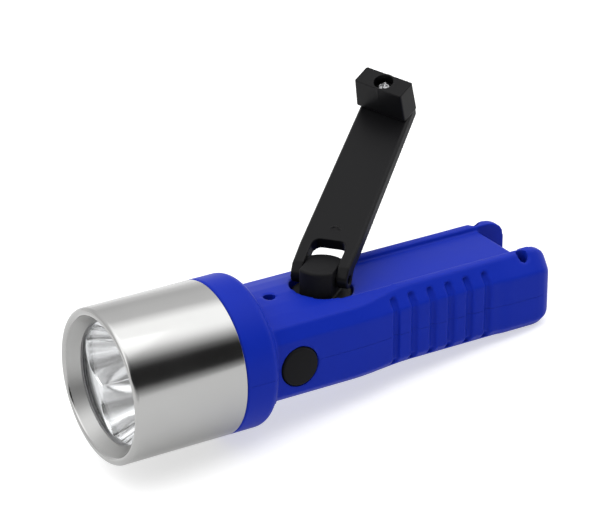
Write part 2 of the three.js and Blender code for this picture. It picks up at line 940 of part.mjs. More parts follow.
function buildButton(parent) {
  const outside = -frontSection.sideHalf;
  const flangeRadius = buttonRadius + buttonGap + buttonFlange;
  const stemEnd = buttonSeat + buttonFlangeThickness + stemLength;
  const dome = [
    [outside - buttonProud, 0],
    [outside - buttonProud, 0.45 * buttonRadius],
    [outside - buttonProud + 0.2 * buttonDome, 0.75 * buttonRadius],
    [outside - buttonProud + buttonDome, buttonRadius],
  ];
  const profile = [
    ...dome,
    [buttonSeat, buttonRadius],
    [buttonSeat, flangeRadius],
    [buttonSeat + buttonFlangeThickness, flangeRadius],
    [buttonSeat + buttonFlangeThickness, stemRadius],
    [stemEnd, stemRadius],
    [stemEnd, 0],
  ];
  piece("button_cap", turnedAcross(profile, midFacets, buttonX, buttonHeight), blackPlastic, parent);
}

function buildSwitch(parent) {
  const face = boardY() - seatGap - switchDepth;
  const half = switchWidth / 2;
  const housing = block(
    [buttonX - half, face + 0.5 * stemRadius, buttonHeight - half],
    [buttonX + half, boardY() - seatGap, buttonHeight + half],
  );
  const key = turnedAcross(bar(face, boardY() - seatGap, stemRadius), smallFacets, buttonX, buttonHeight);
  piece("push_switch", join(housing, key), blackPlastic, parent);
  const board = block(
    [buttonX - 0.6 * boardLength, boardY(), boardFloor + seatGap],
    [buttonX + 0.4 * boardLength, boardY() + boardThickness, boardTop],
  );
  piece("circuit_board", board, boardGreen, parent);
}

// Crank

// The turntable and its pillar, which is round with two flats for the knuckles. X is the hinge line.
function buildHub(parent) {
  const table = turnedUp(
    [
      [driveBottom, 0],
      [driveBottom, shaftRadius],
      [wellFloorHeight + seatGap, shaftRadius],
      [wellFloorHeight + seatGap, hubRadius],
      [hubTopHeight - hubEdge, hubRadius],
      [hubTopHeight, hubRadius - hubEdge],
      [hubTopHeight, 0],
    ],
    fineFacets,
  );
  const top = pivotHeight + pillarTop;
  const post = turnedUp(
    [
      [hubTopHeight - hubEdge, 0],
      [hubTopHeight - hubEdge, pillarRadius],
      [top - pillarEdge, pillarRadius],
      [top, pillarRadius - pillarEdge],
      [top, 0],
    ],
    fineFacets,
  );
  const flats = block([-pillarHalf, -pillarRadius, driveTop], [pillarHalf, pillarRadius, top + overrun]);
  const pinBore = bar(-pillarRadius, pillarRadius, pinRadius + runGap);
  const pinHole = turnedAlong(pinBore, smallFacets, 0, pivotHeight);
  const threadTop = driveBottom + shaftScrewDepth;
  const thread = upright(shaftScrewRadius + seatGap, 0, 0, driveBottom - overrun, threadTop);
  const hub = cut(join(table, post.intersect(flats)), pinHole, thread);
  piece("crank_hub", hub, blackPlastic, parent);
  const pinHalf = armWidthAtFoot / 2 - armEdge;
  const pin = turnedAlong(bar(-pinHalf, pinHalf, pinRadius), smallFacets, 0, pivotHeight);
  piece("hinge_pin", pin, brightSteel, parent);
}

// Outline of the arm seen on its smooth face, X across and Y along. It is widest at the slot's end, and
// narrows to its foot, which has to turn inside the well, and to its knob end.
function armOutline(inset) {
  const halfAt = (place) => (armWidthAtPivot - armTaper * place) / 2 - inset;
  const footHalf = armWidthAtFoot / 2 - inset;
  const start = -knuckleRadius - overrun;
  return rounded(
    [
      [-footHalf, start],
      [footHalf, start],
      [halfAt(windowNeck), windowNeck],
      [halfAt(armLength), armLength - inset],
      [-halfAt(armLength), armLength - inset],
      [-halfAt(windowNeck), windowNeck],
    ],
    [0, 0, 0, 2 * armEdge, 2 * armEdge, 0],
    cornerSteps,
  );
}

// The arm: a tapered plate that grows out of two knuckles, with a slot between them.
function buildArm(parent) {
  const back = armFace - armThickness;
  const edge = armFace - armEdge;
  const plate = join(
    raised(armOutline(0), back - knuckleRadius, edge),
    drafted(armOutline(0), armOutline(armEdge), edge, armFace),
  );
  const side = carriedAlong(armSide(), -armWidthAtPivot, armWidthAtPivot);
  const slot = raised(forkSlot(), -2 * knuckleRadius, armFace + overrun);
  const bore = turnedAlong(bar(-armWidthAtPivot, armWidthAtPivot, pinRadius + runGap), smallFacets);
  const screwHole = upright(
    knobScrewRadius + seatGap,
    0,
    knobPlace,
    armFace - knobScrewBite - seatGap,
    armFace + overrun,
  );
  const body = cut(plate.intersect(side), slot, bore, screwHole);
  piece("crank_arm", body, blackPlastic, parent);
}

// Side view of the arm in Y and Z: a knuckle round the pin that runs into the plate.
function armSide() {
  const back = armFace - armThickness;
  const knuckle = arc([0, 0], knuckleRadius, Math.PI * 0.72, Math.PI * 1.82, 12);
  return [
    [knuckleRadius * 0.4, armFace],
    ...knuckle,
    [knuckleRadius * 1.5, back],
    [armLength, back],
    [armLength, armFace],
  ];
}

// The slot between the knuckles, which narrows to a rounded far end.
function forkSlot() {
  const corners = [
    [-forkHalf, -2 * knuckleRadius],
    [forkHalf, -2 * knuckleRadius],
    [forkHalf, windowNeck],
    [windowEndHalf, windowEnd],
    [-windowEndHalf, windowEnd],
    [-forkHalf, windowNeck],
  ];
  return rounded(corners, [0, 0, 0, windowRound, windowRound, 0], 3);
}

function knobOutline(halfLength, halfWidth) {
  const corners = [
    [-halfLength, -halfWidth],
    [halfLength, -halfWidth],
    [halfLength, halfWidth],
    [-halfLength, halfWidth],
  ];
  return rounded(corners, corners.map(() => knobEdge), 2);
}

// The knob: a block that turns on its screw. It is slightly wider at its foot, and its face has a round
// recess for the screw head.
function buildKnob(parent, armGroup) {
  const foot = knobOutline(knobLength / 2 + knobLengthDraft, knobWidth / 2 + knobWidthDraft);
  const face = knobOutline(knobLength / 2, knobWidth / 2);
  const recess = knobBase + knobHeight - knobRecessDepth;
  const grip = drafted(foot, face, knobBase, knobBase + knobHeight);
  const hole = turnedUp(
    [
      [knobBase - overrun, 0],
      [knobBase - overrun, knobScrewRadius + runGap],
      [recess, knobScrewRadius + runGap],
      [recess, knobRecessRadius],
      [recess + knobRecessDepth + overrun, knobRecessRadius],
      [recess + knobRecessDepth + overrun, 0],
    ],
    midFacets,
  );
  piece("knob", cut(grip, hole), blackPlastic, parent);
  const seat = recess + runGap;
  const screw = turnedUp(
    [
      [armFace - knobScrewBite, 0],
      [armFace - knobScrewBite, knobScrewRadius],
      [seat, knobScrewRadius],
      [seat, knobScrewHead],
      [seat + 0.5 * knobScrewHeadHeight, knobScrewHead],
      [seat + knobScrewHeadHeight, 0.6 * knobScrewHead],
      [seat + knobScrewHeadHeight, 0],
    ],
    midFacets,
    0,
    knobPlace,
  );
  piece("knob_screw", screw, brightSteel, armGroup);
}

function buildCrank(parent) {
  const hub = new THREE.Group();
  hub.position.x = hubX;
  hub.rotation.z = crankTurn;
  parent.add(hub);
  buildHub(hub);
  const arm = new THREE.Group();
  arm.position.z = pivotHeight;
  arm.rotation.x = armLift;
  hub.add(arm);
  buildArm(arm);
  const knob = new THREE.Group();
  knob.position.y = knobPlace;
  knob.rotation.z = knobTurn;
  arm.add(knob);
  buildKnob(knob, arm);
}

// Gear train

// Outline of a spur gear with involute flanks, its first tooth at the angle phase.
function gearOutline(teeth, module, phase) {
  const pitch = (module * teeth) / 2;
  const base = pitch * Math.cos(pressureAngle);
  const outer = pitch + addendumShare * module;
  const root = pitch - dedendumShare * module;
  const spread = (angle) => Math.tan(angle) - angle;
  const halfAtPitch = ((1 - toothSlackShare) * Math.PI) / (2 * teeth);
  const halfAt = (radius) => {
    const slope = Math.acos(Math.min(1, base / Math.max(radius, base)));
    return halfAtPitch + spread(pressureAngle) - spread(slope);
  };
  const flank = base > root ? [root, base, pitch, outer] : [root, pitch, outer];
  return Array.from({ length: teeth }, (_, i) => {
    const middle = phase + (i * 2 * Math.PI) / teeth;
    const rising = flank.map((radius) => [radius, middle - halfAt(radius)]);
    const falling = flank.toReversed().map((radius) => [radius, middle + halfAt(radius)]);
    const points = [...rising, ...falling];
    return points.map(([radius, angle]) => [radius * Math.cos(angle), radius * Math.sin(angle)]);
  }).flat();
}

function gear(teeth, module, phase, x, from, to) {
  const outline = gearOutline(teeth, module, phase).map(([px, py]) => [px + x, py]);
  return raised(outline, from, to);
}

function buildGears(parent) {
  const bore = upright(shaftRadius + seatGap, hubX, 0, driveBottom - overrun, driveTop + overrun);
  const drive = gear(driveTeeth, driveModule, 0, hubX, driveBottom, driveTop);
  piece("drive_gear", cut(drive, bore), whiteNylon, parent);
  const screwTop = driveBottom - seatGap;
  const screw = turnedUp(
    [
      [screwTop - shaftScrewHeadHeight, 0],
      [screwTop - shaftScrewHeadHeight, shaftScrewHead],
      [screwTop, shaftScrewHead],
      [screwTop, shaftScrewRadius],
      [driveBottom + shaftScrewDepth - seatGap, shaftScrewRadius],
      [driveBottom + shaftScrewDepth - seatGap, 0],
    ],
    smallFacets,
    hubX,
  );
  piece("gear_screw", screw, brightSteel, parent);
  const bush = turnedUp(
    [
      [bushBottom, shaftRadius + runGap],
      [bushBottom, bushOuter + bushFlange],
      [bushTop, bushOuter + bushFlange],
      [bushTop, bushOuter],
      [wellFloorHeight - seatGap, bushOuter],
      [wellFloorHeight - seatGap, shaftRadius + runGap],
      [bushBottom, shaftRadius + runGap],
    ],
    midFacets,
    hubX,
  );
  piece("hub_bush", bush, brass, parent);
  const phase = Math.PI + Math.PI / drivenTeeth;
  const pinion = gear(drivenTeeth, driveModule, phase, axleX, wheelBottom, driveTop + seatGap);
  const wheel = gear(wheelTeeth, wheelModule, 0, axleX, wheelBottom, wheelTop);
  const axleBore = upright(axleRadius + runGap, axleX, 0, wheelBottom - overrun, driveTop + overrun);
  piece("compound_gear", cut(join(wheel, pinion), axleBore), whiteNylon, parent);
  const axle = upright(axleRadius, axleX, 0, plateBottom, channelUnderside - 2 * seatGap);
  piece("gear_axle", axle, brightSteel, parent);
}

// Dynamo and its plate

function buildDynamo(parent) {
  const phase = Math.PI + Math.PI / rotorTeeth;
  const pinion = gear(rotorTeeth, wheelModule, phase, rotorX, wheelBottom - seatGap, wheelTop);
  const shaft = upright(axleRadius, rotorX, 0, statorBottom, wheelTop + seatGap);
  piece("rotor_shaft", join(pinion, shaft), brightSteel, parent);
  const magnet = ring(
    statorBottom + magnetInset,
    statorTop - magnetInset,
    axleRadius + seatGap,
    magnetRadius,
  );
  piece("rotor_magnet", turnedUp(magnet, midFacets, rotorX), magnetGrey, parent);
  const shell = turnedUp(
    [
      [statorBottom, poleRadius],
      [statorBottom, statorRadius],
      [statorTop, statorRadius],
      [statorTop, poleRadius],
      [statorTop - statorWall, poleRadius],
      [statorTop - statorWall, statorRadius - statorWall],
      [statorBottom + statorWall, statorRadius - statorWall],
      [statorBottom + statorWall, poleRadius],
      [statorBottom, poleRadius],
    ],
    midFacets,
    rotorX,
  );
  piece("stator_core", shell, brightSteel, parent);
  const winding = ring(
    statorBottom + statorWall + seatGap,
    statorTop - statorWall - seatGap,
    poleRadius + seatGap,
    poleRadius + seatGap + windingThickness,
  );
  piece("stator_winding", turnedUp(winding, midFacets, rotorX), copper, parent);
}

function buildPlate(parent) {
  const [front, back] = [postSideX - 1.5 * postRadius, postEndX + 1.4 * postRadius];
  const shoulder = rotorX + 0.5 * statorRadius;
  const corners = [
    [front, -plateHalf],
    [shoulder, -plateHalf],
    [back, -1.5 * postRadius],
    [back, 1.5 * postRadius],
    [shoulder, plateHalf],
    [front, plateHalf],
  ];
  const outline = rounded(corners, corners.map(() => plateCorner), cornerSteps);
  const plate = raised(outline, plateBottom, plateTop);
  const rotorHole = upright(axleRadius + seatGap, rotorX, 0, plateBottom - overrun, plateTop + overrun);
  const axleHole = upright(axleRadius + runGap, axleX, 0, plateBottom - overrun, plateTop + overrun);
  piece("gear_plate", cut(plate, rotorHole, axleHole), brightSteel, parent);
}

// Cells

function buildCells(parent) {
  const centre = soleInside + seatGap + cellRadius;
  const pitch = cellThickness + seatGap;
  for (let i = 0; i < cellCount; i++) {
    const from = (i - cellCount / 2) * pitch + seatGap / 2;
    const profile = [
      [from, 0],
      [from, cellRadius - cellRimRound],
      [from + cellRimRound, cellRadius],
      [from + cellThickness, cellRadius],
      [from + cellThickness, 0],
    ];
    piece("cell_" + (i + 1), turnedAcross(profile, midFacets, cellX, centre), brightSteel, parent);
  }
}

const torch = new THREE.Group();
torch.name = "torch";
torch.position.x = -overallLength;
buildSleeve(torch);
buildLens(torch);
buildReflector(torch);
buildLeds(torch);
buildCasing(torch);
buildButton(torch);
buildSwitch(torch);
buildCrank(torch);
buildGears(torch);
buildDynamo(torch);
buildPlate(torch);
buildCells(torch);

const part = new THREE.Group();
part.add(torch);

export default part;
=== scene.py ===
"""Hand crank flashlight: fine shapes, finishes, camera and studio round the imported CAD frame.

Sizes are in millimetres and are scaled to metres where a mesh is made. Places along the flashlight count
from the front rim, and the frame's origin lies in the tail end, OVERALL_LENGTH behind it. HUB_X is the place
of the turntable's axis. Vertices closer than WELD, in metres, are merged. Nearer an axis than CORE, in
millimetres, spread_out moves nothing.
"""

import logging
import math
from collections.abc import Callable
from dataclasses import dataclass
from enum import Enum
from functools import cache

import bmesh
import bpy
from mathutils import Matrix, Vector

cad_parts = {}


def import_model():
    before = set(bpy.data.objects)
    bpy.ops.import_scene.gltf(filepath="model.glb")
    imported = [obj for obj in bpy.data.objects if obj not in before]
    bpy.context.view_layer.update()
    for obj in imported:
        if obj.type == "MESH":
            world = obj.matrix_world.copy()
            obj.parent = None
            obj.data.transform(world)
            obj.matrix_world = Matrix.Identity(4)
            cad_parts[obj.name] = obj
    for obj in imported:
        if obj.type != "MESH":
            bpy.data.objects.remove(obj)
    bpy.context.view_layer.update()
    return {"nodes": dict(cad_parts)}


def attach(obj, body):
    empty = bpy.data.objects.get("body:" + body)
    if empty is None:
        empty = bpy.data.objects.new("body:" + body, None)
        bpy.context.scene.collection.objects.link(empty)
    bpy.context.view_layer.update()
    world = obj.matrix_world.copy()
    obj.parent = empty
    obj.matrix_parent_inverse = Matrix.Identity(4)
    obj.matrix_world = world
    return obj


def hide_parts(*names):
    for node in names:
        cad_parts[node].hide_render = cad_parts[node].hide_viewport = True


LOG = logging.getLogger("flashlight")
MM = 0.001
OVERALL_LENGTH = 159.0
HUB_X = 80.65
BUTTON_X = 60.5
BUTTON_Z = -0.6
WELD = 1e-6
CORE = 1.0

Mesh = bmesh.types.BMesh
Socket = bpy.types.NodeSocket
Tree = bpy.types.NodeTree
Colour = tuple[float, float, float]
Pair = tuple[float, float]
Place = tuple[float, float, float]
Profile = list[Pair]
GroupParts = tuple["Sheet", bpy.types.Node, bpy.types.Node]


class Body(Enum):
    """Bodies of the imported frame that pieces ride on."""

    HOUSING = "housing"
    TURNTABLE = "turntable"
    ARM = "arm"
    HAND_KNOB = "hand_knob"
    BUTTON = "button"


class Axis(Enum):
    """Ways in which round work is set up, each as the matrix that turns its own Z axis to that way."""

    ALONG = Matrix.Translation((-OVERALL_LENGTH * MM, 0, 0)) @ Matrix.Rotation(math.pi / 2, 4, "Y")
    ACROSS = Matrix.Rotation(-math.pi / 2, 4, "X")


def row(x: float, y: float = 0.0, z: float = 0.0) -> Vector:
    """Place in the frame, in metres, from millimetres behind the front rim, across and up."""
    return Vector((x - OVERALL_LENGTH, y, z)) * MM


def arc(centre: Pair, radius: float, start: float, end: float, steps: int) -> Profile:
    """Points of an arc, both ends included.

    Args:
        centre: Place and radius of the arc's centre.
        radius: Radius of the arc.
        start: First angle in degrees, from the place axis towards the radius axis.
        end: Last angle in degrees.
        steps: Number of chords.

    Returns:
        Points as (place, radius).
    """
    turns = [math.radians(start + (end - start) * i / steps) for i in range(steps + 1)]
    return [(centre[0] + radius * math.cos(t), centre[1] + radius * math.sin(t)) for t in turns]


def snapped(out: float, up: float, radius: float, slack: float) -> Pair:
    """Puts a spot that lies near a circle on it.

    Args:
        out: Place from the circle's centre, in millimetres.
        up: Place from the centre, square to that.
        radius: Radius of the circle.
        slack: Distance from the circle within which a spot is moved.

    Returns:
        The spot's two places from the centre.
    """
    aside = math.hypot(out, up)
    if abs(aside - radius) < slack:
        return out * radius / aside, up * radius / aside
    return out, up


def spread_out(out: float, up: float, radius: float, move: float, fade: float) -> Pair:
    """Moves a spot on or near a circle along the radius, and one further off by less.

    Args:
        out: Place from the circle's centre, in millimetres.
        up: Place from the centre, square to that.
        radius: Radius of the circle.
        move: Whole way outwards, in millimetres, or inwards where it is negative.
        fade: Distance from the circle beyond which nothing moves, as a multiple of the whole way.

    Returns:
        The spot's two places from the centre.
    """
    aside = math.hypot(out, up)
    if aside <= CORE:
        return out, up
    share = max(0.0, min(1.0, fade - abs(aside - radius) / abs(move)))
    grown = 1.0 + move * share / aside
    return out * grown, up * grown


# Shader node groups and finishes


class Sheet:
    """Adds nodes to one node tree and links them."""

    def __init__(self, tree: Tree) -> None:
        """Starts on the node tree of a material, a group or a world, and empties it."""
        self.tree = tree
        tree.nodes.clear()

    def add(self, kind: str, **settings: object) -> bpy.types.Node:
        """Adds a node.

        Args:
            kind: Node type without its ShaderNode prefix, or a full type name.
            settings: Node properties by name, and socket values as in_NAME.

        Returns:
            The new node.
        """
        full = kind if kind.startswith("Node") else "ShaderNode" + kind
        node = self.tree.nodes.new(full)
        for key, value in settings.items():
            if key.startswith("in_"):
                node.inputs[key[3:].replace("_", " ")].default_value = value
            else:
                setattr(node, key, value)
        return node

    def join(self, source: Socket, target: Socket) -> None:
        """Links an output to an input."""
        self.tree.links.new(source, target)

    def axes(self, coordinates: str) -> bpy.types.NodeOutputs:
        """Splits texture coordinates, named as in Blender, into the outputs X, Y and Z."""
        parts = self.add("SeparateXYZ")
        self.join(self.add("TexCoord").outputs[coordinates], parts.inputs[0])
        return parts.outputs

    def maths(self, operation: str, first: object, second: object) -> Socket:
        """Output of a Math node, each of whose two inputs is an output or a number."""
        node = self.add("Math", operation=operation)
        for place, value in enumerate((first, second)):
            if isinstance(value, Socket):
                self.join(value, node.inputs[place])
            else:
                node.inputs[place].default_value = value
        return node.outputs[0]

    def spread(self, value: Socket, source: Pair, target: Pair) -> Socket:
        """Maps an output's value from one range to another and clamps it."""
        node = self.add("MapRange", clamp=True)
        self.join(value, node.inputs[0])
        for place, limit in enumerate((*source, *target), start=1):
            node.inputs[place].default_value = limit
        return node.outputs[0]


class SharedGroups:
    """Shader node groups that more than one finish uses, each built once."""

    @staticmethod
    def start(name: str, inputs: dict[str, float], outputs: list[str]) -> GroupParts:
        """Opens a new group.

        Args:
            name: Name of the group.
            inputs: Float inputs with their defaults.
            outputs: Names of its float outputs.

        Returns:
            The sheet, the group's input node and its output node.
        """
        tree = bpy.data.node_groups.new(name, "ShaderNodeTree")
        for label, value in inputs.items():
            socket = tree.interface.new_socket(label, in_out="INPUT", socket_type="NodeSocketFloat")
            socket.default_value = value
        for label in outputs:
            tree.interface.new_socket(label, in_out="OUTPUT", socket_type="NodeSocketFloat")
        sheet = Sheet(tree)
        return sheet, sheet.add("NodeGroupInput"), sheet.add("NodeGroupOutput")

    @staticmethod
    def clouds(sheet: Sheet, scale: Socket, detail: float) -> Socket:
        """Value of a noise on Object coordinates, whose scale comes from an output."""
        noise = sheet.add("TexNoise", in_Detail=detail)
        sheet.join(sheet.add("TexCoord").outputs["Object"], noise.inputs["Vector"])
        sheet.join(scale, noise.inputs["Scale"])
        return noise.outputs["Fac"]

    @classmethod
    @cache
    def edge_wear_and_highlight(cls) -> Tree:
        """Mask of outer edges, broken up by noise, that are lightened: part abrasion and part painted
        highlight.
        """
        sheet, given, result = cls.start("edge_wear_and_highlight", {"Amount": 0.5, "Scale": 900.0}, ["Mask"])
        sharp = sheet.spread(sheet.add("NewGeometry").outputs["Pointiness"], (0.51, 0.6), (0.0, 1.0))
        noise = cls.clouds(sheet, given.outputs["Scale"], 3.0)
        broken = sheet.spread(noise, (0.35, 0.7), (0.0, 1.0))
        rubbed_and_highlit = sheet.maths("MULTIPLY", sharp, broken)
        sheet.join(sheet.maths("MULTIPLY", rubbed_and_highlit, given.outputs["Amount"]), result.inputs["Mask"])
        return sheet.tree

    @classmethod
    @cache
    def grain(cls) -> Tree:
        """Fine moulded or cast grain as a height, and a broad cloudy tone."""
        sheet, given, result = cls.start("grain", {"Scale": 3000.0, "Broad": 60.0}, ["Height", "Tone"])
        sheet.join(cls.clouds(sheet, given.outputs["Scale"], 2.0), result.inputs["Height"])
        sheet.join(cls.clouds(sheet, given.outputs["Broad"], 4.0), result.inputs["Tone"])
        return sheet.tree

    @classmethod
    @cache
    def turned_lines(cls) -> Tree:
        """Fine rings round the head's axis, as left by a lathe or a polishing belt."""
        sheet, given, result = cls.start("turned_lines", {"Scale": 6000.0}, ["Height"])
        place = sheet.axes("Object")
        flat = sheet.add("CombineXYZ")
        sheet.join(place["Y"], flat.inputs["Y"])
        sheet.join(place["Z"], flat.inputs["Z"])
        radius = sheet.add("VectorMath", operation="LENGTH")
        sheet.join(flat.outputs[0], radius.inputs[0])
        rings = sheet.add("CombineXYZ")
        sheet.join(place["X"], rings.inputs["X"])
        sheet.join(radius.outputs["Value"], rings.inputs["Y"])
        noise = sheet.add("TexNoise", in_Detail=4.0, in_Roughness=0.7)
        sheet.join(rings.outputs[0], noise.inputs["Vector"])
        sheet.join(given.outputs["Scale"], noise.inputs["Scale"])
        sheet.join(noise.outputs["Fac"], result.inputs["Height"])
        return sheet.tree


@dataclass(frozen=True)
class Finish:
    """A finish with one colour, a little grain and lighter outer edges, part abrasion and part painted
    highlight.

    Attributes:
        name: Name of the material.
        colour: Linear base colour.
        worn_and_highlit: Linear colour of the lighter outer edges, part abrasion and part painted highlight.
        roughness: Lowest and highest roughness over the surface.
        metallic: Metalness from 0 to 1.
        grain_scale: Noise scale of the grain, per metre.
        grain_depth: Depth of the grain in millimetres.
        wear_and_highlight: Strength of the lighter outer edges, part abrasion and part painted highlight.
        tone: How much the broad tone darkens the colour.
        coat: Strength of a clear top layer.
        specular: Specular level.
        cloud: Part of the broad noise's range that is spread over tone and roughness.
    """

    name: str
    colour: Colour
    worn_and_highlit: Colour
    roughness: Pair = (0.4, 0.5)
    metallic: float = 0.0
    grain_scale: float = 3000.0
    grain_depth: float = 0.01
    wear_and_highlight: float = 0.4
    tone: float = 0.1
    coat: float = 0.0
    specular: float = 0.5
    cloud: Pair = (0.3, 0.7)

    def height(self, sheet: Sheet) -> Socket:
        """Height that feeds the bump."""
        grain = sheet.add("Group", node_tree=SharedGroups.grain(), in_Scale=self.grain_scale)
        return grain.outputs["Height"]

    def shade(self, sheet: Sheet) -> bpy.types.Node:
        """Builds the Principled shader with its colour, roughness and bump."""
        shader = sheet.add("BsdfPrincipled", in_Metallic=self.metallic, in_Coat_Weight=self.coat,
                           in_Specular_IOR_Level=self.specular)
        grain = sheet.add("Group", node_tree=SharedGroups.grain())
        tone = sheet.spread(grain.outputs["Tone"], self.cloud, (1.0 - self.tone, 1.0))
        shaded = sheet.add("Mix", data_type="RGBA", blend_type="MULTIPLY", in_Factor=1.0)
        shaded.inputs[6].default_value = (*self.colour, 1.0)
        sheet.join(tone, shaded.inputs[7])
        # Outer edges are mixed towards a lighter colour: part abrasion, part painted highlight.
        wear_and_highlight = sheet.add("Group", node_tree=SharedGroups.edge_wear_and_highlight(), in_Amount=self.wear_and_highlight)
        rubbed_and_highlit = sheet.add("Mix", data_type="RGBA")
        sheet.join(wear_and_highlight.outputs["Mask"], rubbed_and_highlit.inputs["Factor"])
        sheet.join(shaded.outputs[2], rubbed_and_highlit.inputs[6])
        rubbed_and_highlit.inputs[7].default_value = (*self.worn_and_highlit, 1.0)
        sheet.join(rubbed_and_highlit.outputs[2], shader.inputs["Base Color"])
        rough = sheet.spread(grain.outputs["Tone"], self.cloud, self.roughness)
        sheet.join(rough, shader.inputs["Roughness"])
        bump = sheet.add("Bump", in_Distance=self.grain_depth * MM, in_Strength=1.0)
        sheet.join(self.height(sheet), bump.inputs["Height"])
        sheet.join(bump.outputs[0], shader.inputs["Normal"])
        return shader

    def material(self) -> bpy.types.Material:
        """The finish as a material, built on first use."""
        made = bpy.data.materials.get(self.name)
        if made is None:
            made = bpy.data.materials.new(self.name)
            made.use_nodes = True
            sheet = Sheet(made.node_tree)
            output = sheet.add("OutputMaterial")
            sheet.join(self.shade(sheet).outputs[0], output.inputs["Surface"])
        return made


@dataclass(frozen=True)
class TurnedMetal(Finish):
    """Metal with fine rings round the head's axis."""

    line_scale: float = 6000.0

    def height(self, sheet: Sheet) -> Socket:
        """Height of the turned rings."""
        lines = sheet.add("Group", node_tree=SharedGroups.turned_lines(), in_Scale=self.line_scale)
        return lines.outputs["Height"]


@dataclass(frozen=True)
class ClearPlastic(Finish):
    """Clear moulding that light passes through."""

    index: float = 1.49

    def shade(self, sheet: Sheet) -> bpy.types.Node:
        """Builds the clear shader."""
        shader = super().shade(sheet)
        shader.inputs["Transmission Weight"].default_value = 1.0
        shader.inputs["IOR"].default_value = self.index
        return shader


@dataclass(frozen=True)
class LitPaper(Finish):
    """Pale paper over a light table, which glows a little of itself.

    Attributes:
        glow: Light that it gives to the object.
        shown: Light that it shows to the eye, which pales its shadows.
    """

    glow: float = 0.38
    shown: float = 0.6

    def shade(self, sheet: Sheet) -> bpy.types.Node:
        """Builds the glowing shader."""
        shader = super().shade(sheet)
        shader.inputs["Emission Color"].default_value = (1.0, 1.0, 1.0, 1.0)
        seen = sheet.add("LightPath").outputs["Is Camera Ray"]
        glow = sheet.spread(seen, (0.0, 1.0), (self.glow, self.shown))
        sheet.join(glow, shader.inputs["Emission Strength"])
        return shader


@dataclass(frozen=True)
class Palette:
    """Finishes of the flashlight."""

    polished: Finish = TurnedMetal(
        "polished tube", (0.43, 0.43, 0.425), (0.6, 0.6, 0.6), roughness=(0.1, 0.16), metallic=1.0,
        grain_depth=0.0012, tone=0.04, wear_and_highlight=0.0, line_scale=5000.0)
    brushed: Finish = TurnedMetal(
        "turned lip", (0.41, 0.41, 0.405), (0.6, 0.6, 0.6), roughness=(0.36, 0.46), metallic=1.0,
        grain_depth=0.006, tone=0.08, wear_and_highlight=0.0, line_scale=9000.0)
    blue: Finish = Finish(
        "blue satin plastic", (0.0055, 0.0238, 0.388), (0.02, 0.045, 0.46), roughness=(0.36, 0.44),
        grain_scale=4200.0, grain_depth=0.005, wear_and_highlight=0.3, tone=0.06, specular=0.066)
    black: Finish = Finish(
        "black satin plastic", (0.006, 0.006, 0.0068), (0.03, 0.03, 0.03), roughness=(0.34, 0.42),
        grain_scale=4200.0, grain_depth=0.005, wear_and_highlight=0.5, specular=0.11)
    hub: Finish = Finish(
        "matt black plastic", (0.0085, 0.0085, 0.0095), (0.03, 0.03, 0.03), roughness=(0.45, 0.55),
        grain_scale=4200.0, grain_depth=0.005, wear_and_highlight=0.3, specular=0.075)
    button: Finish = Finish(
        "button rubber", (0.0078, 0.0078, 0.009), (0.03, 0.03, 0.03), roughness=(0.5, 0.6),
        grain_scale=2600.0, grain_depth=0.012, wear_and_highlight=0.2, specular=0.09)
    gasket: Finish = Finish(
        "grey silicone", (0.34, 0.34, 0.35), (0.4, 0.4, 0.4), roughness=(0.45, 0.6), grain_scale=2000.0)
    chrome: Finish = Finish(
        "chromed plastic", (0.80, 0.80, 0.80), (0.85, 0.85, 0.85), roughness=(0.05, 0.09), metallic=1.0,
        grain_scale=260.0, grain_depth=0.02, wear_and_highlight=0.0, tone=0.03)
    flange: Finish = Finish(
        "satin flange", (0.85, 0.85, 0.85), (0.85, 0.85, 0.85), roughness=(0.3, 0.4),
        grain_scale=900.0, wear_and_highlight=0.0, tone=0.05)
    lens: Finish = ClearPlastic(
        "clear lens", (0.97, 0.98, 0.99), (1.0, 1.0, 1.0), roughness=(0.0, 0.03), grain_depth=0.0006,
        wear_and_highlight=0.0, tone=0.01)
    led: Finish = ClearPlastic(
        "led resin", (0.95, 0.88, 0.55), (1.0, 1.0, 0.9), roughness=(0.08, 0.14), grain_depth=0.002,
        wear_and_highlight=0.0, tone=0.05, index=1.52)
    screw: Finish = Finish(
        "bright steel", (0.34, 0.34, 0.35), (0.6, 0.6, 0.6), roughness=(0.2, 0.32), metallic=1.0,
        grain_scale=5000.0, grain_depth=0.004, wear_and_highlight=0.3)
    board: Finish = Finish(
        "board lacquer", (0.02, 0.11, 0.035), (0.1, 0.2, 0.1), roughness=(0.3, 0.45),
        grain_scale=1500.0, coat=0.4)
    brass: Finish = Finish(
        "turned brass", (0.60, 0.40, 0.13), (0.75, 0.55, 0.25), roughness=(0.25, 0.4), metallic=1.0,
        tone=0.15)
    nylon: Finish = Finish(
        "white nylon", (0.72, 0.70, 0.62), (0.8, 0.8, 0.75), roughness=(0.4, 0.55),
        grain_scale=2500.0, tone=0.06)
    sheet_metal: Finish = Finish(
        "aluminium plate", (0.60, 0.61, 0.62), (0.75, 0.75, 0.75), roughness=(0.3, 0.45), metallic=1.0)
    magnet: Finish = Finish(
        "sintered magnet", (0.035, 0.035, 0.04), (0.1, 0.1, 0.1), roughness=(0.5, 0.65), metallic=0.6)
    copper: Finish = Finish(
        "copper winding", (0.45, 0.16, 0.06), (0.6, 0.3, 0.15), roughness=(0.25, 0.4), metallic=1.0,
        grain_scale=1800.0, grain_depth=0.05, coat=0.5)
    cell: Finish = Finish(
        "cell can", (0.45, 0.47, 0.50), (0.65, 0.65, 0.65), roughness=(0.25, 0.4), metallic=1.0, tone=0.12)


# Mesh work


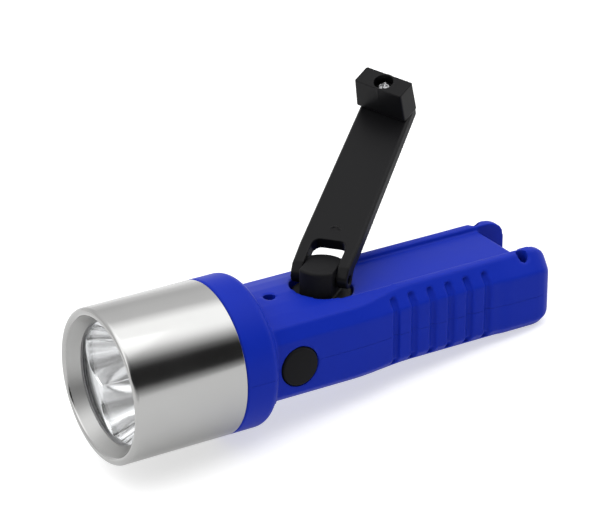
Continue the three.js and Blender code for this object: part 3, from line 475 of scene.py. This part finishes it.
def turned(profile: Profile, setting: Matrix, steps: int) -> Mesh:
    """Spins a profile into round work.

    Args:
        profile: Points as (place along the axis, radius), in millimetres.
        setting: Matrix that sets the work's own Z axis to its place and way.
        steps: Segments of the full turn.

    Returns:
        The closed mesh in the frame.
    """
    bm = bmesh.new()
    corners = [bm.verts.new((radius * MM, 0.0, place * MM)) for place, radius in profile]
    sides = [bm.edges.new(pair) for pair in zip(corners, corners[1:])]
    bmesh.ops.spin(
        bm, geom=corners + sides, cent=(0, 0, 0), axis=(0, 0, 1), dvec=(0, 0, 0), angle=2 * math.pi,
        steps=steps, use_merge=True, use_normal_flip=False, use_duplicate=False)
    bmesh.ops.remove_doubles(bm, verts=bm.verts, dist=WELD)
    bmesh.ops.dissolve_degenerate(bm, edges=bm.edges, dist=WELD)
    bmesh.ops.recalc_face_normals(bm, faces=bm.faces)
    bm.transform(setting)
    return bm


def placed(bm: Mesh, name: str) -> bpy.types.Object:
    """Puts a mesh, which is freed here, into the scene as a named object."""
    mesh = bpy.data.meshes.new(name)
    bm.to_mesh(mesh)
    bm.free()
    holder = bpy.data.objects.new(name, mesh)
    bpy.context.scene.collection.objects.link(holder)
    return holder


def nudge(bm: Mesh, move: Callable[[Vector], Vector]) -> None:
    """Moves each vertex, in metres, to where a formula says."""
    for corner in bm.verts:
        corner.co = move(corner.co)


@dataclass
class Workshop:
    """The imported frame, and the bench on which finished pieces are handed over.

    Attributes:
        nodes: CAD nodes by name.
    """

    nodes: dict[str, bpy.types.Object]

    def draft(self, *names: str) -> Mesh:
        """Copies the named CAD nodes into one welded mesh."""
        bm = bmesh.new()
        for name in names:
            bm.from_mesh(self.nodes[name].data)
        bmesh.ops.remove_doubles(bm, verts=bm.verts, dist=WELD)
        return bm

    def worked(self, bm: Mesh, prepare: Callable[[bpy.types.Object], None]) -> Mesh:
        """Puts a mesh through modifiers.

        Args:
            bm: Mesh that is worked, freed here.
            prepare: Adds the modifiers to the object that holds the mesh.

        Returns:
            The result.
        """
        blank = placed(bm, "blank")
        prepare(blank)
        seen = blank.evaluated_get(bpy.context.evaluated_depsgraph_get())
        result = bmesh.new()
        result.from_mesh(seen.to_mesh())
        seen.to_mesh_clear()
        # The object goes with its mesh.
        bpy.data.meshes.remove(blank.data)
        return result

    def skinned(self, bm: Mesh, voxel: float, passes: int) -> Mesh:
        """Gives a mesh a new skin whose edges are softened evenly, as a mould does.

        Args:
            bm: Mesh that is skinned, freed here.
            voxel: Grid of the new skin, in millimetres.
            passes: Rounds of smoothing.

        Returns:
            The new skin.
        """
        def prepare(blank: bpy.types.Object) -> None:
            """Adds the remesh and the smoothing."""
            skin = blank.modifiers.new("skin", "REMESH")
            skin.mode = "VOXEL"
            skin.voxel_size = voxel * MM
            skin.use_smooth_shade = True
            soften = blank.modifiers.new("soften", "SMOOTH")
            soften.factor = 0.5
            soften.iterations = passes

        return self.worked(bm, prepare)

    def bored(self, bm: Mesh, drills: list[Mesh]) -> Mesh:
        """Cuts round work out of a mesh.

        Args:
            bm: Mesh that is cut, freed here.
            drills: Closed meshes whose room is taken out, freed here.

        Returns:
            The mesh with its clean holes.
        """
        together = bmesh.new()
        for drill in drills:
            one = bpy.data.meshes.new("drill")
            drill.to_mesh(one)
            drill.free()
            together.from_mesh(one)
            bpy.data.meshes.remove(one)
        holder = placed(together, "drills")

        def prepare(blank: bpy.types.Object) -> None:
            """Adds the cut."""
            cut = blank.modifiers.new("cut", "BOOLEAN")
            cut.operation = "DIFFERENCE"
            cut.solver = "EXACT"
            cut.object = holder

        result = self.worked(bm, prepare)
        bpy.data.meshes.remove(holder.data)
        return result

    def moulded(self, node: str, voxel: float, passes: int) -> Mesh:
        """A CAD node's copy with an evenly softened skin."""
        return self.skinned(self.draft(node), voxel, passes)

    def deliver(self, bm: Mesh, name: str, finishes: list[Finish], body: Body,
                node: str, soft_angle: float = 40.0) -> None:
        """Makes a mesh a finished piece that rides on a body.

        Args:
            bm: Finished mesh in the frame, freed here.
            name: Name of the piece.
            finishes: Finishes by the faces' material index.
            body: Body that the piece rides on.
            node: CAD node that the piece stands for.
            soft_angle: Edges that bend less than this, in degrees, are shaded smooth.
        """
        for face in bm.faces:
            face.smooth = True
        for edge in bm.edges:
            edge.smooth = not edge.is_manifold or edge.calc_face_angle(0.0) < math.radians(soft_angle)
        piece = placed(bm, name)
        for finish in finishes:
            piece.data.materials.append(finish.material())
        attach(piece, body.value)
        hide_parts(node)
        LOG.info("%s: %d faces on %s", name, len(piece.data.polygons), body.value)

    def dress(self, node: str, finish: Finish) -> None:
        """Gives a CAD node that stays its finish."""
        piece = self.nodes[node]
        piece.data.materials.clear()
        piece.data.materials.append(finish.material())
        LOG.info("%s: kept from the frame, in %s", node, finish.name)


@dataclass
class CrossScrew:
    """Pan head of a screw with a cross recess, on its shank.

    Attributes:
        head_radius: Radius of the head.
        head_height: Height of the domed head.
        shank_radius: Radius of the shank.
        recess_reach: Length of each arm of the cross.
        recess_half: Half width of the cross.
        recess_depth: Depth of the cross.
        dome_share: Share of the head's height that its dome takes up.
        dome_slack: Way below the dome's edge from which the cross is pressed.
        recess_taper: Share of the depth that is lost at the cross's tips.
    """

    head_radius: float
    head_height: float
    shank_radius: float
    recess_reach: float
    recess_half: float
    recess_depth: float
    dome_share: float = 0.35
    dome_slack: float = 0.02
    recess_taper: float = 0.5
    rings: int = 26
    steps: int = 112

    def build(self, tip: float, seat: float, setting: Matrix) -> Mesh:
        """Builds the screw.

        Args:
            tip: Place of the shank's end along the axis.
            seat: Place of the head's underside along the axis.
            setting: Matrix that sets the axis.

        Returns:
            The screw's mesh in the frame.
        """
        top = seat + self.head_height
        sag = self.dome_share * self.head_height
        dome: Profile = []
        for i in range(self.rings + 1):
            radius = self.head_radius * i / self.rings
            dome.append((top - sag * (radius / self.head_radius) ** 4, radius))
        profile = [*dome, (seat, self.head_radius), (seat, self.shank_radius),
                   (tip + self.shank_radius, self.shank_radius), (tip, 0.0)]
        bm = turned(profile, Matrix.Identity(4), self.steps)
        floor = top - sag - self.dome_slack

        def carve(place: Vector) -> Vector:
            """Presses the cross into the dome."""
            x, y, z = (value / MM for value in place)
            if z < floor:
                return place
            along = max(abs(x), abs(y))
            aside = min(abs(x), abs(y))
            if along < self.recess_reach and aside < self.recess_half:
                depth = self.recess_depth * (1.0 - self.recess_taper * along / self.recess_reach)
                return Vector((x, y, z - depth)) * MM
            return place

        nudge(bm, carve)
        bm.transform(setting)
        return bm


# Sub-assemblies


@dataclass
class Head:
    """Polished sleeve with its turned lip, gasket, lens, reflector and LEDs."""

    radius: float = 25.0
    length: float = 38.5
    wall: float = 0.8
    rim_round: float = 1.4
    rim_start: float = 238.0
    lip_mouth: float = 22.2
    lip_throat: float = 19.7
    lip_depth: float = 4.6
    lip_edge: float = 0.25
    gasket_front: float = 4.75
    gasket_back: float = 5.25
    gasket_inner: float = 19.6
    gasket_round: float = 0.3
    lens_front: float = 5.3
    lens_back: float = 6.7
    lens_edge: float = 0.2
    insert_radius: float = 23.9
    flange_front: float = 6.8
    flange_back: float = 8.85
    dish_radius: float = 19.6
    dish_depth: float = 4.0
    dish_edge: float = 0.06
    bowl_depth: float = 17.6
    bowl_mouth: float = 11.8
    bowl_circle: float = 8.0
    bowl_angles: tuple[float, ...] = (-90.0, 30.0, 150.0)
    back_wall: float = 1.3
    back_place: float = 25.65
    back_start: float = 0.25
    back_step: float = 0.1
    back_steps: int = 7
    led_radius: float = 2.5
    led_shoulder: float = 24.05
    led_edge: float = 0.1
    led_gap: float = 0.3
    led_steps: int = 12
    led_turns: int = 48
    rim_steps: int = 16
    edge_steps: int = 4
    slack: float = 0.01
    rings: int = 92
    steps: int = 192

    def build(self, shop: Workshop, colours: Palette) -> None:
        """Builds and dresses the head's pieces."""
        self.sleeve(shop, colours)
        self.front(shop, colours)
        self.reflector(shop, colours)
        self.leds(shop, colours)
        shop.dress("led_board", colours.board)

    def sleeve(self, shop: Workshop, colours: Palette) -> None:
        """Builds the tube and its lip, which has a finish of its own."""
        rim = arc((self.rim_round, self.radius - self.rim_round), self.rim_round, self.rim_start, 90.0,
                  self.rim_steps)
        tail = arc((self.length - self.lip_edge, self.radius - self.lip_edge), self.lip_edge, 90.0, 0.0,
                   self.edge_steps)
        bore = self.radius - self.wall
        profile = [
            (self.lip_depth, bore), (self.lip_depth, self.lip_throat),
            (self.lip_depth - self.lip_edge, self.lip_throat), *rim, *tail, (self.length, bore),
            (self.lip_depth, bore)]
        bm = turned(profile, Axis.ALONG.value, self.steps)
        for face in bm.faces:
            centre = face.calc_center_median()
            inside = math.hypot(centre.y, centre.z) < self.lip_mouth * MM
            face.material_index = 1 if inside and centre.x < row(self.lip_depth).x else 0
        shop.deliver(bm, "head_tube", [colours.polished, colours.brushed], Body.HOUSING,
                     "head_sleeve", soft_angle=30.0)

    def front(self, shop: Workshop, colours: Palette) -> None:
        """Builds the gasket and the lens."""
        inner = self.gasket_inner + self.gasket_round
        middle = (self.gasket_front + self.gasket_back) / 2
        bead = arc((middle, inner), self.gasket_round, -60.0, -120.0, self.edge_steps)
        gasket = [(self.gasket_back, self.insert_radius), (self.gasket_back, inner), *bead,
                  (self.gasket_front, inner), (self.gasket_front, self.insert_radius),
                  (self.gasket_back, self.insert_radius)]
        shop.deliver(turned(gasket, Axis.ALONG.value, self.steps), "lens_seal", [colours.gasket],
                     Body.HOUSING, "lens_gasket", soft_angle=30.0)
        edge = self.lens_edge
        lens = [(self.lens_front, 0.0), (self.lens_front, self.insert_radius - edge),
                (self.lens_front + edge, self.insert_radius), (self.lens_back - edge, self.insert_radius),
                (self.lens_back, self.insert_radius - edge), (self.lens_back, 0.0)]
        shop.deliver(turned(lens, Axis.ALONG.value, self.steps), "front_lens", [colours.lens],
                     Body.HOUSING, "lens", soft_angle=25.0)

    def bowl_centres(self) -> list[Pair]:
        """Centres of the bowls across and up."""
        return [(self.bowl_circle * math.cos(math.radians(a)), self.bowl_circle * math.sin(math.radians(a)))
                for a in self.bowl_angles]

    def depth_at(self, y: float, z: float) -> float:
        """Depth of the reflector's face behind its flange, at a place across and up, in millimetres."""
        radius = math.hypot(y, z)
        if radius > self.dish_radius + self.slack:
            return 0.0
        depth = self.dish_depth * (1.0 - radius / self.dish_radius)
        for cy, cz in self.bowl_centres():
            aside = math.hypot(y - cy, z - cz)
            if aside < self.led_radius + self.led_gap:
                return self.back_place - self.flange_front - self.led_gap
            depth = max(depth, self.bowl_depth * (1.0 - (aside / self.bowl_mouth) ** 2))
        return depth

    def reflector(self, shop: Workshop, colours: Palette) -> None:
        """Builds the chromed reflector: a face pressed into three bowls, and its back."""
        face = [(self.flange_front, self.dish_radius * i / self.rings) for i in range(self.rings + 1)]
        back: Profile = []
        for step in range(self.back_steps):
            share = self.back_start + self.back_step * step
            reach = self.bowl_circle + self.bowl_mouth * math.sqrt(1.0 - share)
            back.append((self.flange_front + share * self.bowl_depth,
                         min(self.dish_radius, reach) + self.back_wall))
        profile = [
            *face, (self.flange_front, self.dish_radius + self.dish_edge),
            (self.flange_front, self.insert_radius), (self.flange_back, self.insert_radius),
            (self.flange_back, self.dish_radius + self.back_wall), *back,
            (self.back_place, self.bowl_circle + self.led_radius + self.led_gap + self.back_wall),
            (self.back_place, 0.0)]
        bm = turned(profile, Axis.ALONG.value, 2 * self.steps)
        front = row(self.flange_front).x + WELD

        def press(place: Vector) -> Vector:
            """Presses the face into the bowls."""
            if place.x > front:
                return place
            depth = self.depth_at(place.y / MM, place.z / MM)
            return Vector((place.x + depth * MM, place.y, place.z))

        nudge(bm, press)
        for face in bm.faces:
            centre = face.calc_center_median()
            if math.hypot(centre.y, centre.z) > self.dish_radius * MM:
                face.material_index = 1
        shop.deliver(bm, "lobed_reflector", [colours.chrome, colours.flange], Body.HOUSING,
                     "reflector", soft_angle=22.0)

    def leds(self, shop: Workshop, colours: Palette) -> None:
        """Builds the three domed LEDs."""
        for number, (y, z) in enumerate(self.bowl_centres(), start=1):
            dome = arc((self.led_shoulder, 0.0), self.led_radius, 180.0, 90.0, self.led_steps)
            profile = [*dome, (self.back_place - self.led_edge, self.led_radius),
                       (self.back_place, self.led_radius - self.led_edge), (self.back_place, 0.0)]
            setting = Matrix.Translation((0, y * MM, z * MM)) @ Axis.ALONG.value
            shop.deliver(turned(profile, setting, self.led_turns), f"led_dome_{number}", [colours.led],
                         Body.HOUSING, f"led_{number}")


@dataclass
class Casing:
    """Two halves of the moulded handle, with the round collar, and their screws."""

    collar_face: float = 38.8
    collar_end: float = 51.0
    collar_round: float = 3.4
    radius: float = 25.0
    parting_half: float = 0.15
    parting_slack: float = 0.015
    parting_edge: float = 0.045
    parting_lap: float = 0.25
    voxel: float = 0.48
    passes: int = 4
    snap: float = 0.3
    well_snap: float = 0.15
    well_radius: float = 10.3
    hole_radius: float = 2.0
    hole_foot: float = 5.6
    drill_reach: float = 24.0
    drill_margin: float = 0.4
    drill_fade: float = 2.0
    hole_turns: int = 48
    button_turns: int = 96
    hole_places: tuple[Pair, ...] = ((61.3, 0.0), (148.8, -13.75), (148.8, 13.75))
    button_hole: float = 6.8
    button_wall: float = -17.2
    screw_tip: float = -9.0
    screw_seat: float = 3.7

    def build(self, shop: Workshop, colours: Palette) -> None:
        """Builds both halves and the casing screws."""
        blank = shop.draft("body_upper", "body_lower")
        nudge(blank, self.lapped)
        casing = shop.skinned(blank, self.voxel, self.passes)
        nudge(casing, self.trued)
        nudge(casing, self.narrowed)
        casing = shop.bored(casing, self.drills())
        for node, name, side in (("body_upper", "upper_half", 1.0), ("body_lower", "lower_half", -1.0)):
            shop.deliver(self.half(casing, side), name, [colours.blue], Body.HOUSING, node,
                         soft_angle=60.0)
        casing.free()
        screw = CrossScrew(head_radius=1.8, head_height=1.5, shank_radius=1.0, recess_reach=1.1,
                           recess_half=0.3, recess_depth=0.8)
        names = ("casing_screw_front", "casing_screw_near", "casing_screw_far")
        for (x, y), node in zip(self.hole_places, names):
            setting = Matrix.Translation(row(x, y))
            shop.deliver(screw.build(self.screw_tip, self.screw_seat, setting), node + "_head",
                         [colours.screw], Body.HOUSING, node)

    def lapped(self, place: Vector) -> Vector:
        """Lets both halves of the blank lap over the parting plane, so that they take one skin."""
        if abs(abs(place.z) / MM - self.parting_half) < self.parting_slack:
            return Vector((place.x, place.y, -math.copysign(self.parting_lap * MM, place.z)))
        return place

    def half(self, casing: Mesh, side: float) -> Mesh:
        """Cuts one half from the casing, with its parting face closed.

        Args:
            casing: Whole casing, which is kept.
            side: 1 for the upper half and -1 for the lower one.

        Returns:
            The half.
        """
        bm = casing.copy()
        cut = bmesh.ops.bisect_plane(
            bm, geom=[*bm.verts, *bm.edges, *bm.faces], dist=WELD,
            plane_co=(0, 0, side * self.parting_edge * MM), plane_no=(0, 0, side), clear_inner=True)
        rim = [piece for piece in cut["geom_cut"] if isinstance(piece, bmesh.types.BMEdge)]
        bmesh.ops.triangle_fill(bm, edges=rim, use_beauty=True, use_dissolve=False, normal=(0, 0, -side))
        return bm

    def drills(self) -> list[Mesh]:
        """Drills for the three screw holes and the button's hole."""
        shank = [(self.hole_foot, 0.0), (self.hole_foot, self.hole_radius),
                 (self.drill_reach, self.hole_radius), (self.drill_reach, 0.0)]
        tools = [turned(shank, Matrix.Translation(row(x, y)), self.hole_turns) for x, y in self.hole_places]
        punch = [(-self.drill_reach, 0.0), (-self.drill_reach, self.button_hole),
                 (self.button_wall, self.button_hole), (self.button_wall, 0.0)]
        setting = Matrix.Translation(row(BUTTON_X, 0.0, BUTTON_Z)) @ Axis.ACROSS.value
        tools.append(turned(punch, setting, self.button_turns))
        return tools

    def narrowed(self, place: Vector) -> Vector:
        """Draws the skin in round each hole, so that the drill then leaves a clean rim."""
        x, y, z = place.x / MM + OVERALL_LENGTH, place.y / MM, place.z / MM
        if z > self.hole_foot:
            for hole_x, hole_y in self.hole_places:
                out, up = spread_out(
                    x - hole_x, y - hole_y, self.hole_radius, -self.drill_margin, self.drill_fade)
                x, y = hole_x + out, hole_y + up
        if y < self.button_wall:
            out, up = spread_out(
                x - BUTTON_X, z - BUTTON_Z, self.button_hole, -self.drill_margin, self.drill_fade)
            x, z = BUTTON_X + out, BUTTON_Z + up
        return row(x, y, z)

    def trued(self, place: Vector) -> Vector:
        """Puts a vertex of the skin back on the true round faces of the moulding."""
        x, y, z = place.x / MM + OVERALL_LENGTH, place.y / MM, place.z / MM
        radius = math.hypot(y, z)
        bend = self.collar_end - self.collar_round
        flat = self.radius - self.collar_round
        if self.collar_face + self.snap < x < bend:
            y, z = snapped(y, z, self.radius, self.snap)
        elif x >= bend and radius > flat:
            out, along = snapped(radius - flat, x - bend, self.collar_round, self.snap)
            x = bend + along
            y, z = y * (flat + out) / radius, z * (flat + out) / radius
        if z > self.snap:
            out, y = snapped(x - HUB_X, y, self.well_radius, self.well_snap)
            x = HUB_X + out
        return row(x, y, z)


@dataclass
class PushButton:
    """Round button cap in the handle's side, with the switch and board behind it."""

    face: float = -20.5
    radius: float = 6.5
    edge: float = 0.9
    crown: float = 0.25
    seat: float = -17.1
    flange: float = 7.7
    flange_thickness: float = 1.0
    stem: float = 1.8
    stem_end: float = -14.5
    edge_start: float = 170.0
    rings: int = 8
    steps: int = 96

    def build(self, shop: Workshop, colours: Palette) -> None:
        """Builds the cap and dresses what lies behind it."""
        dome: Profile = []
        flat = self.radius - self.edge
        for i in range(self.rings + 1):
            radius = flat * i / self.rings
            dome.append((self.face + self.crown * (radius / flat) ** 2, radius))
        low = self.face + self.crown + self.edge
        flange_end = self.seat + self.flange_thickness
        profile = [*dome, *arc((low, flat), self.edge, self.edge_start, 90.0, self.rings),
                   (self.seat, self.radius), (self.seat, self.flange), (flange_end, self.flange),
                   (flange_end, self.stem), (self.stem_end, self.stem), (self.stem_end, 0.0)]
        setting = Matrix.Translation(row(BUTTON_X, 0.0, BUTTON_Z)) @ Axis.ACROSS.value
        shop.deliver(turned(profile, setting, self.steps), "button", [colours.button], Body.BUTTON,
                     "button_cap")
        shop.dress("push_switch", colours.black)
        shop.dress("circuit_board", colours.board)


@dataclass
class Crank:
    """Turntable, hinge pin, arm and knob with its screw."""

    pivot_z: float = 17.65
    turn: float = -50.7
    lift: float = 21.35
    knob_place: float = 75.2
    arm_face: float = 4.35
    knob_base: float = 4.65
    knob_height: float = 11.03
    recess_radius: float = 2.9
    recess_depth: float = 3.6
    recess_growth: float = 0.4
    recess_fade: float = 2.4
    mark_place: float = 16.0
    mark_radius: float = 1.7
    mark_half: float = 0.32
    mark_height: float = 0.5
    mark_foot: float = 0.68
    mark_slack: float = 0.1
    side_share: float = 0.8
    hub_radius: float = 9.8
    pin_radius: float = 1.2
    pin_half: float = 8.6
    pin_edge: float = 0.3
    screw_bite: float = 3.0
    head_gap: float = 0.3
    snap: float = 0.14
    voxel: float = 0.28
    hub_voxel: float = 0.26
    knob_voxel: float = 0.2
    passes: int = 3
    knob_passes: int = 2
    pin_steps: int = 40

    def build(self, shop: Workshop, colours: Palette) -> None:
        """Builds and dresses the crank's pieces."""
        hub = shop.moulded("crank_hub", self.hub_voxel, self.passes)
        upright = Matrix.Translation(row(HUB_X))
        nudge(hub, lambda place: self.rounded_to(place, upright, self.hub_radius))
        shop.deliver(hub, "turntable", [colours.hub], Body.TURNTABLE, "crank_hub",
                     soft_angle=60.0)
        self.pin(shop, colours)
        arm = shop.moulded("crank_arm", self.voxel, self.passes)
        nudge(arm, self.marked)
        arm.normal_update()
        hinge = self.hub_setting().to_3x3() @ Vector((1.0, 0.0, 0.0))
        for face in arm.faces:
            face.material_index = 1 if abs(face.normal.dot(hinge)) > self.side_share else 0
        shop.deliver(arm, "arm", [colours.black, colours.hub], Body.ARM, "crank_arm",
                     soft_angle=60.0)
        knob = shop.moulded("knob", self.knob_voxel, self.knob_passes)
        axis = self.arm_setting() @ Matrix.Translation((0, self.knob_place * MM, 0))
        nudge(knob, lambda place: self.rounded_to(place, axis, self.recess_radius))
        nudge(knob, lambda place: self.widened(place, axis))
        shop.deliver(knob, "hand_grip", [colours.black], Body.HAND_KNOB, "knob",
                     soft_angle=60.0)
        screw = CrossScrew(head_radius=2.25, head_height=1.6, shank_radius=1.5, recess_reach=1.4,
                           recess_half=0.34, recess_depth=1.0)
        seat = self.knob_base + self.knob_height - self.recess_depth + self.head_gap
        shop.deliver(screw.build(self.arm_face - self.screw_bite, seat, axis), "grip_screw", [colours.screw],
                     Body.ARM, "knob_screw")

    def hub_setting(self) -> Matrix:
        """Frame of the turntable, its X along the hinge line."""
        turn = Matrix.Rotation(math.radians(self.turn), 4, "Z")
        return Matrix.Translation(row(HUB_X)) @ turn

    def arm_setting(self) -> Matrix:
        """Frame of the arm, its Y along the arm and its Z out of the smooth face."""
        lift = Matrix.Rotation(math.radians(self.lift), 4, "X")
        return self.hub_setting() @ Matrix.Translation((0, 0, self.pivot_z * MM)) @ lift

    def rounded_to(self, place: Vector, setting: Matrix, radius: float) -> Vector:
        """Puts a vertex near a cylinder back on it.

        Args:
            place: Vertex in metres.
            setting: Matrix whose Z is the cylinder's axis.
            radius: Radius in millimetres.

        Returns:
            The vertex, put on the cylinder if it lies close to it.
        """
        inside = setting.inverted() @ place / MM
        inside.x, inside.y = snapped(inside.x, inside.y, radius, self.snap)
        return setting @ (inside * MM)

    def widened(self, place: Vector, axis: Matrix) -> Vector:
        """Opens the knob's recess, which lies round the Z of a matrix, to its full width."""
        inside = axis.inverted() @ place / MM
        inside.x, inside.y = spread_out(
            inside.x, inside.y, self.recess_radius, self.recess_growth, self.recess_fade)
        return axis @ (inside * MM)

    def marked(self, place: Vector) -> Vector:
        """Raises the small curved mark on the arm's smooth face."""
        setting = self.arm_setting()
        inside = setting.inverted() @ place
        x, y = inside.x / MM, inside.y / MM - self.mark_place
        if abs(inside.z / MM - self.arm_face) > self.mark_slack or y < self.mark_foot:
            return place
        off = (math.hypot(x, y) - self.mark_radius) / self.mark_half
        inside.z += self.mark_height * MM * math.exp(-off * off)
        return setting @ inside

    def pin(self, shop: Workshop, colours: Palette) -> None:
        """Builds the hinge pin with chamfered ends."""
        end = self.pin_half
        thin = self.pin_radius - self.pin_edge
        profile = [(-end, 0.0), (-end, thin), (self.pin_edge - end, self.pin_radius),
                   (end - self.pin_edge, self.pin_radius), (end, thin), (end, 0.0)]
        setting = (self.hub_setting() @ Matrix.Translation((0, 0, self.pivot_z * MM))
                   @ Matrix.Rotation(math.pi / 2, 4, "Y"))
        shop.deliver(turned(profile, setting, self.pin_steps), "hinge_pin_turned", [colours.screw],
                     Body.TURNTABLE, "hinge_pin")


@dataclass
class Works:
    """Gears, dynamo and cells inside the casing, which keep their CAD shapes."""

    def build(self, shop: Workshop, colours: Palette) -> None:
        """Dresses each inner node."""
        finishes = {
            "hub_bush": colours.brass, "drive_gear": colours.nylon, "gear_screw": colours.screw,
            "compound_gear": colours.nylon, "gear_axle": colours.screw, "gear_plate": colours.sheet_metal,
            "rotor_shaft": colours.screw, "rotor_magnet": colours.magnet, "stator_core": colours.screw,
            "stator_winding": colours.copper, "cell_1": colours.cell, "cell_2": colours.cell,
            "cell_3": colours.cell}
        for node, finish in finishes.items():
            shop.dress(node, finish)


# Studio


def stood(data: bpy.types.ID, place: Place, target: Place) -> bpy.types.Object:
    """Stands a camera or a lamp at a place in the studio, facing a target, both in metres."""
    stand = bpy.data.objects.new(data.name, data)
    stand.location = place
    way = Vector(target) - Vector(place)
    stand.rotation_euler = way.to_track_quat("-Z", "Y").to_euler()
    bpy.context.scene.collection.objects.link(stand)
    return stand


@dataclass
class Studio:
    """Pale floor, banded surround, soft lamp and the camera at the photograph's angle.

    Attributes:
        head_foot: Where the collar rests on the floor, from the front rim and up, in millimetres.
        tail_foot: Where the tail rests on the floor.
        bands: Brightness of the surround by the angle in degrees from straight up towards the button side.
    """

    camera_place: Place = (-0.5270, -0.7099, 0.4134)
    camera_target: Place = (-0.08503, -0.00218, 0.02568)
    lens: float = 172.0
    sensor: float = 36.0
    lamp_place: Place = (-0.15, -0.2, 0.9)
    lamp_target: Place = (-0.08, 0.0, 0.0)
    lamp_size: Pair = (0.9, 0.5)
    lamp_power: float = 0.6
    floor_half: float = 3.0
    floor_cells: int = 8
    floor_grey: float = 0.6
    head_foot: Pair = (47.6, -25.0)
    tail_foot: Pair = (154.3, -11.53)
    surround: float = 2.2
    bands: tuple[Pair, ...] = (
        (-180.0, 0.45), (-82.0, 0.45), (-66.0, 0.38), (-50.0, 0.45), (-31.0, 0.49), (-22.0, 0.74),
        (-13.0, 0.97), (13.0, 0.97), (21.0, 0.82), (31.0, 0.44), (42.0, 0.11), (50.0, 0.015),
        (74.0, 0.015), (87.0, 0.36), (100.0, 0.45), (180.0, 0.45))

    def build(self) -> None:
        """Builds the camera, the floor, the surround and the lamp."""
        bpy.context.scene.view_settings.view_transform = "Standard"
        lens = bpy.data.cameras.new("camera")
        lens.lens = self.lens
        lens.sensor_width = self.sensor
        bpy.context.scene.camera = stood(lens, self.camera_place, self.camera_target)
        self.floor()
        self.world()
        lamp = bpy.data.lights.new("overhead", "AREA")
        lamp.shape = "RECTANGLE"
        lamp.size, lamp.size_y = self.lamp_size
        lamp.energy = self.lamp_power
        stood(lamp, self.lamp_place, self.lamp_target)

    def floor(self) -> None:
        """Lays the floor under the two places where the flashlight rests: its collar and its tail."""
        near = row(self.head_foot[0], 0.0, self.head_foot[1])
        far = row(self.tail_foot[0], 0.0, self.tail_foot[1])
        slope = math.atan2(far.z - near.z, far.x - near.x)
        bm = bmesh.new()
        bmesh.ops.create_grid(
            bm, x_segments=self.floor_cells, y_segments=self.floor_cells, size=self.floor_half)
        bm.transform(Matrix.Translation(near) @ Matrix.Rotation(-slope, 4, "Y"))
        floor = placed(bm, "floor")
        grey = self.floor_grey
        paper = LitPaper("paper floor", (grey, grey, grey), (grey, grey, grey), roughness=(0.85, 0.95),
                         grain_scale=800.0, wear_and_highlight=0.0, tone=0.01, specular=0.0)
        floor.data.materials.append(paper.material())

    def world(self) -> None:
        """Sets a surround in bands along the flashlight, as panels hung round a tabletop studio."""
        world = bpy.data.worlds.new("surround")
        bpy.context.scene.world = world
        world.use_nodes = True
        sheet = Sheet(world.node_tree)
        way = sheet.axes("Generated")
        angle = sheet.maths("ARCTAN2", sheet.maths("MULTIPLY", way["Y"], -1.0), way["Z"])
        share = sheet.spread(angle, (-math.pi, math.pi), (0.0, 1.0))
        ramp = sheet.add("ValToRGB")
        sheet.join(share, ramp.inputs[0])
        stops = ramp.color_ramp.elements
        while len(stops) < len(self.bands):
            stops.new(0.5)
        for stop, (degrees, bright) in zip(stops, self.bands):
            stop.position = 0.5 + degrees / 360.0
            stop.color = (bright, bright, bright, 1.0)
        back = sheet.add("Background", in_Strength=self.surround)
        sheet.join(ramp.outputs[0], back.inputs["Color"])
        output = sheet.add("OutputWorld")
        sheet.join(back.outputs[0], output.inputs["Surface"])


def main() -> None:
    """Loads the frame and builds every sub-assembly."""
    logging.basicConfig(level=logging.INFO, format="%(message)s")
    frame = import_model()
    Studio().build()
    shop = Workshop(frame["nodes"])
    colours = Palette()
    for part in (Head(), Casing(), PushButton(), Crank(), Works()):
        part.build(shop, colours)
        LOG.info("%s done", type(part).__name__)
    bpy.context.view_layer.update()


if __name__ == "__main__":
    main()
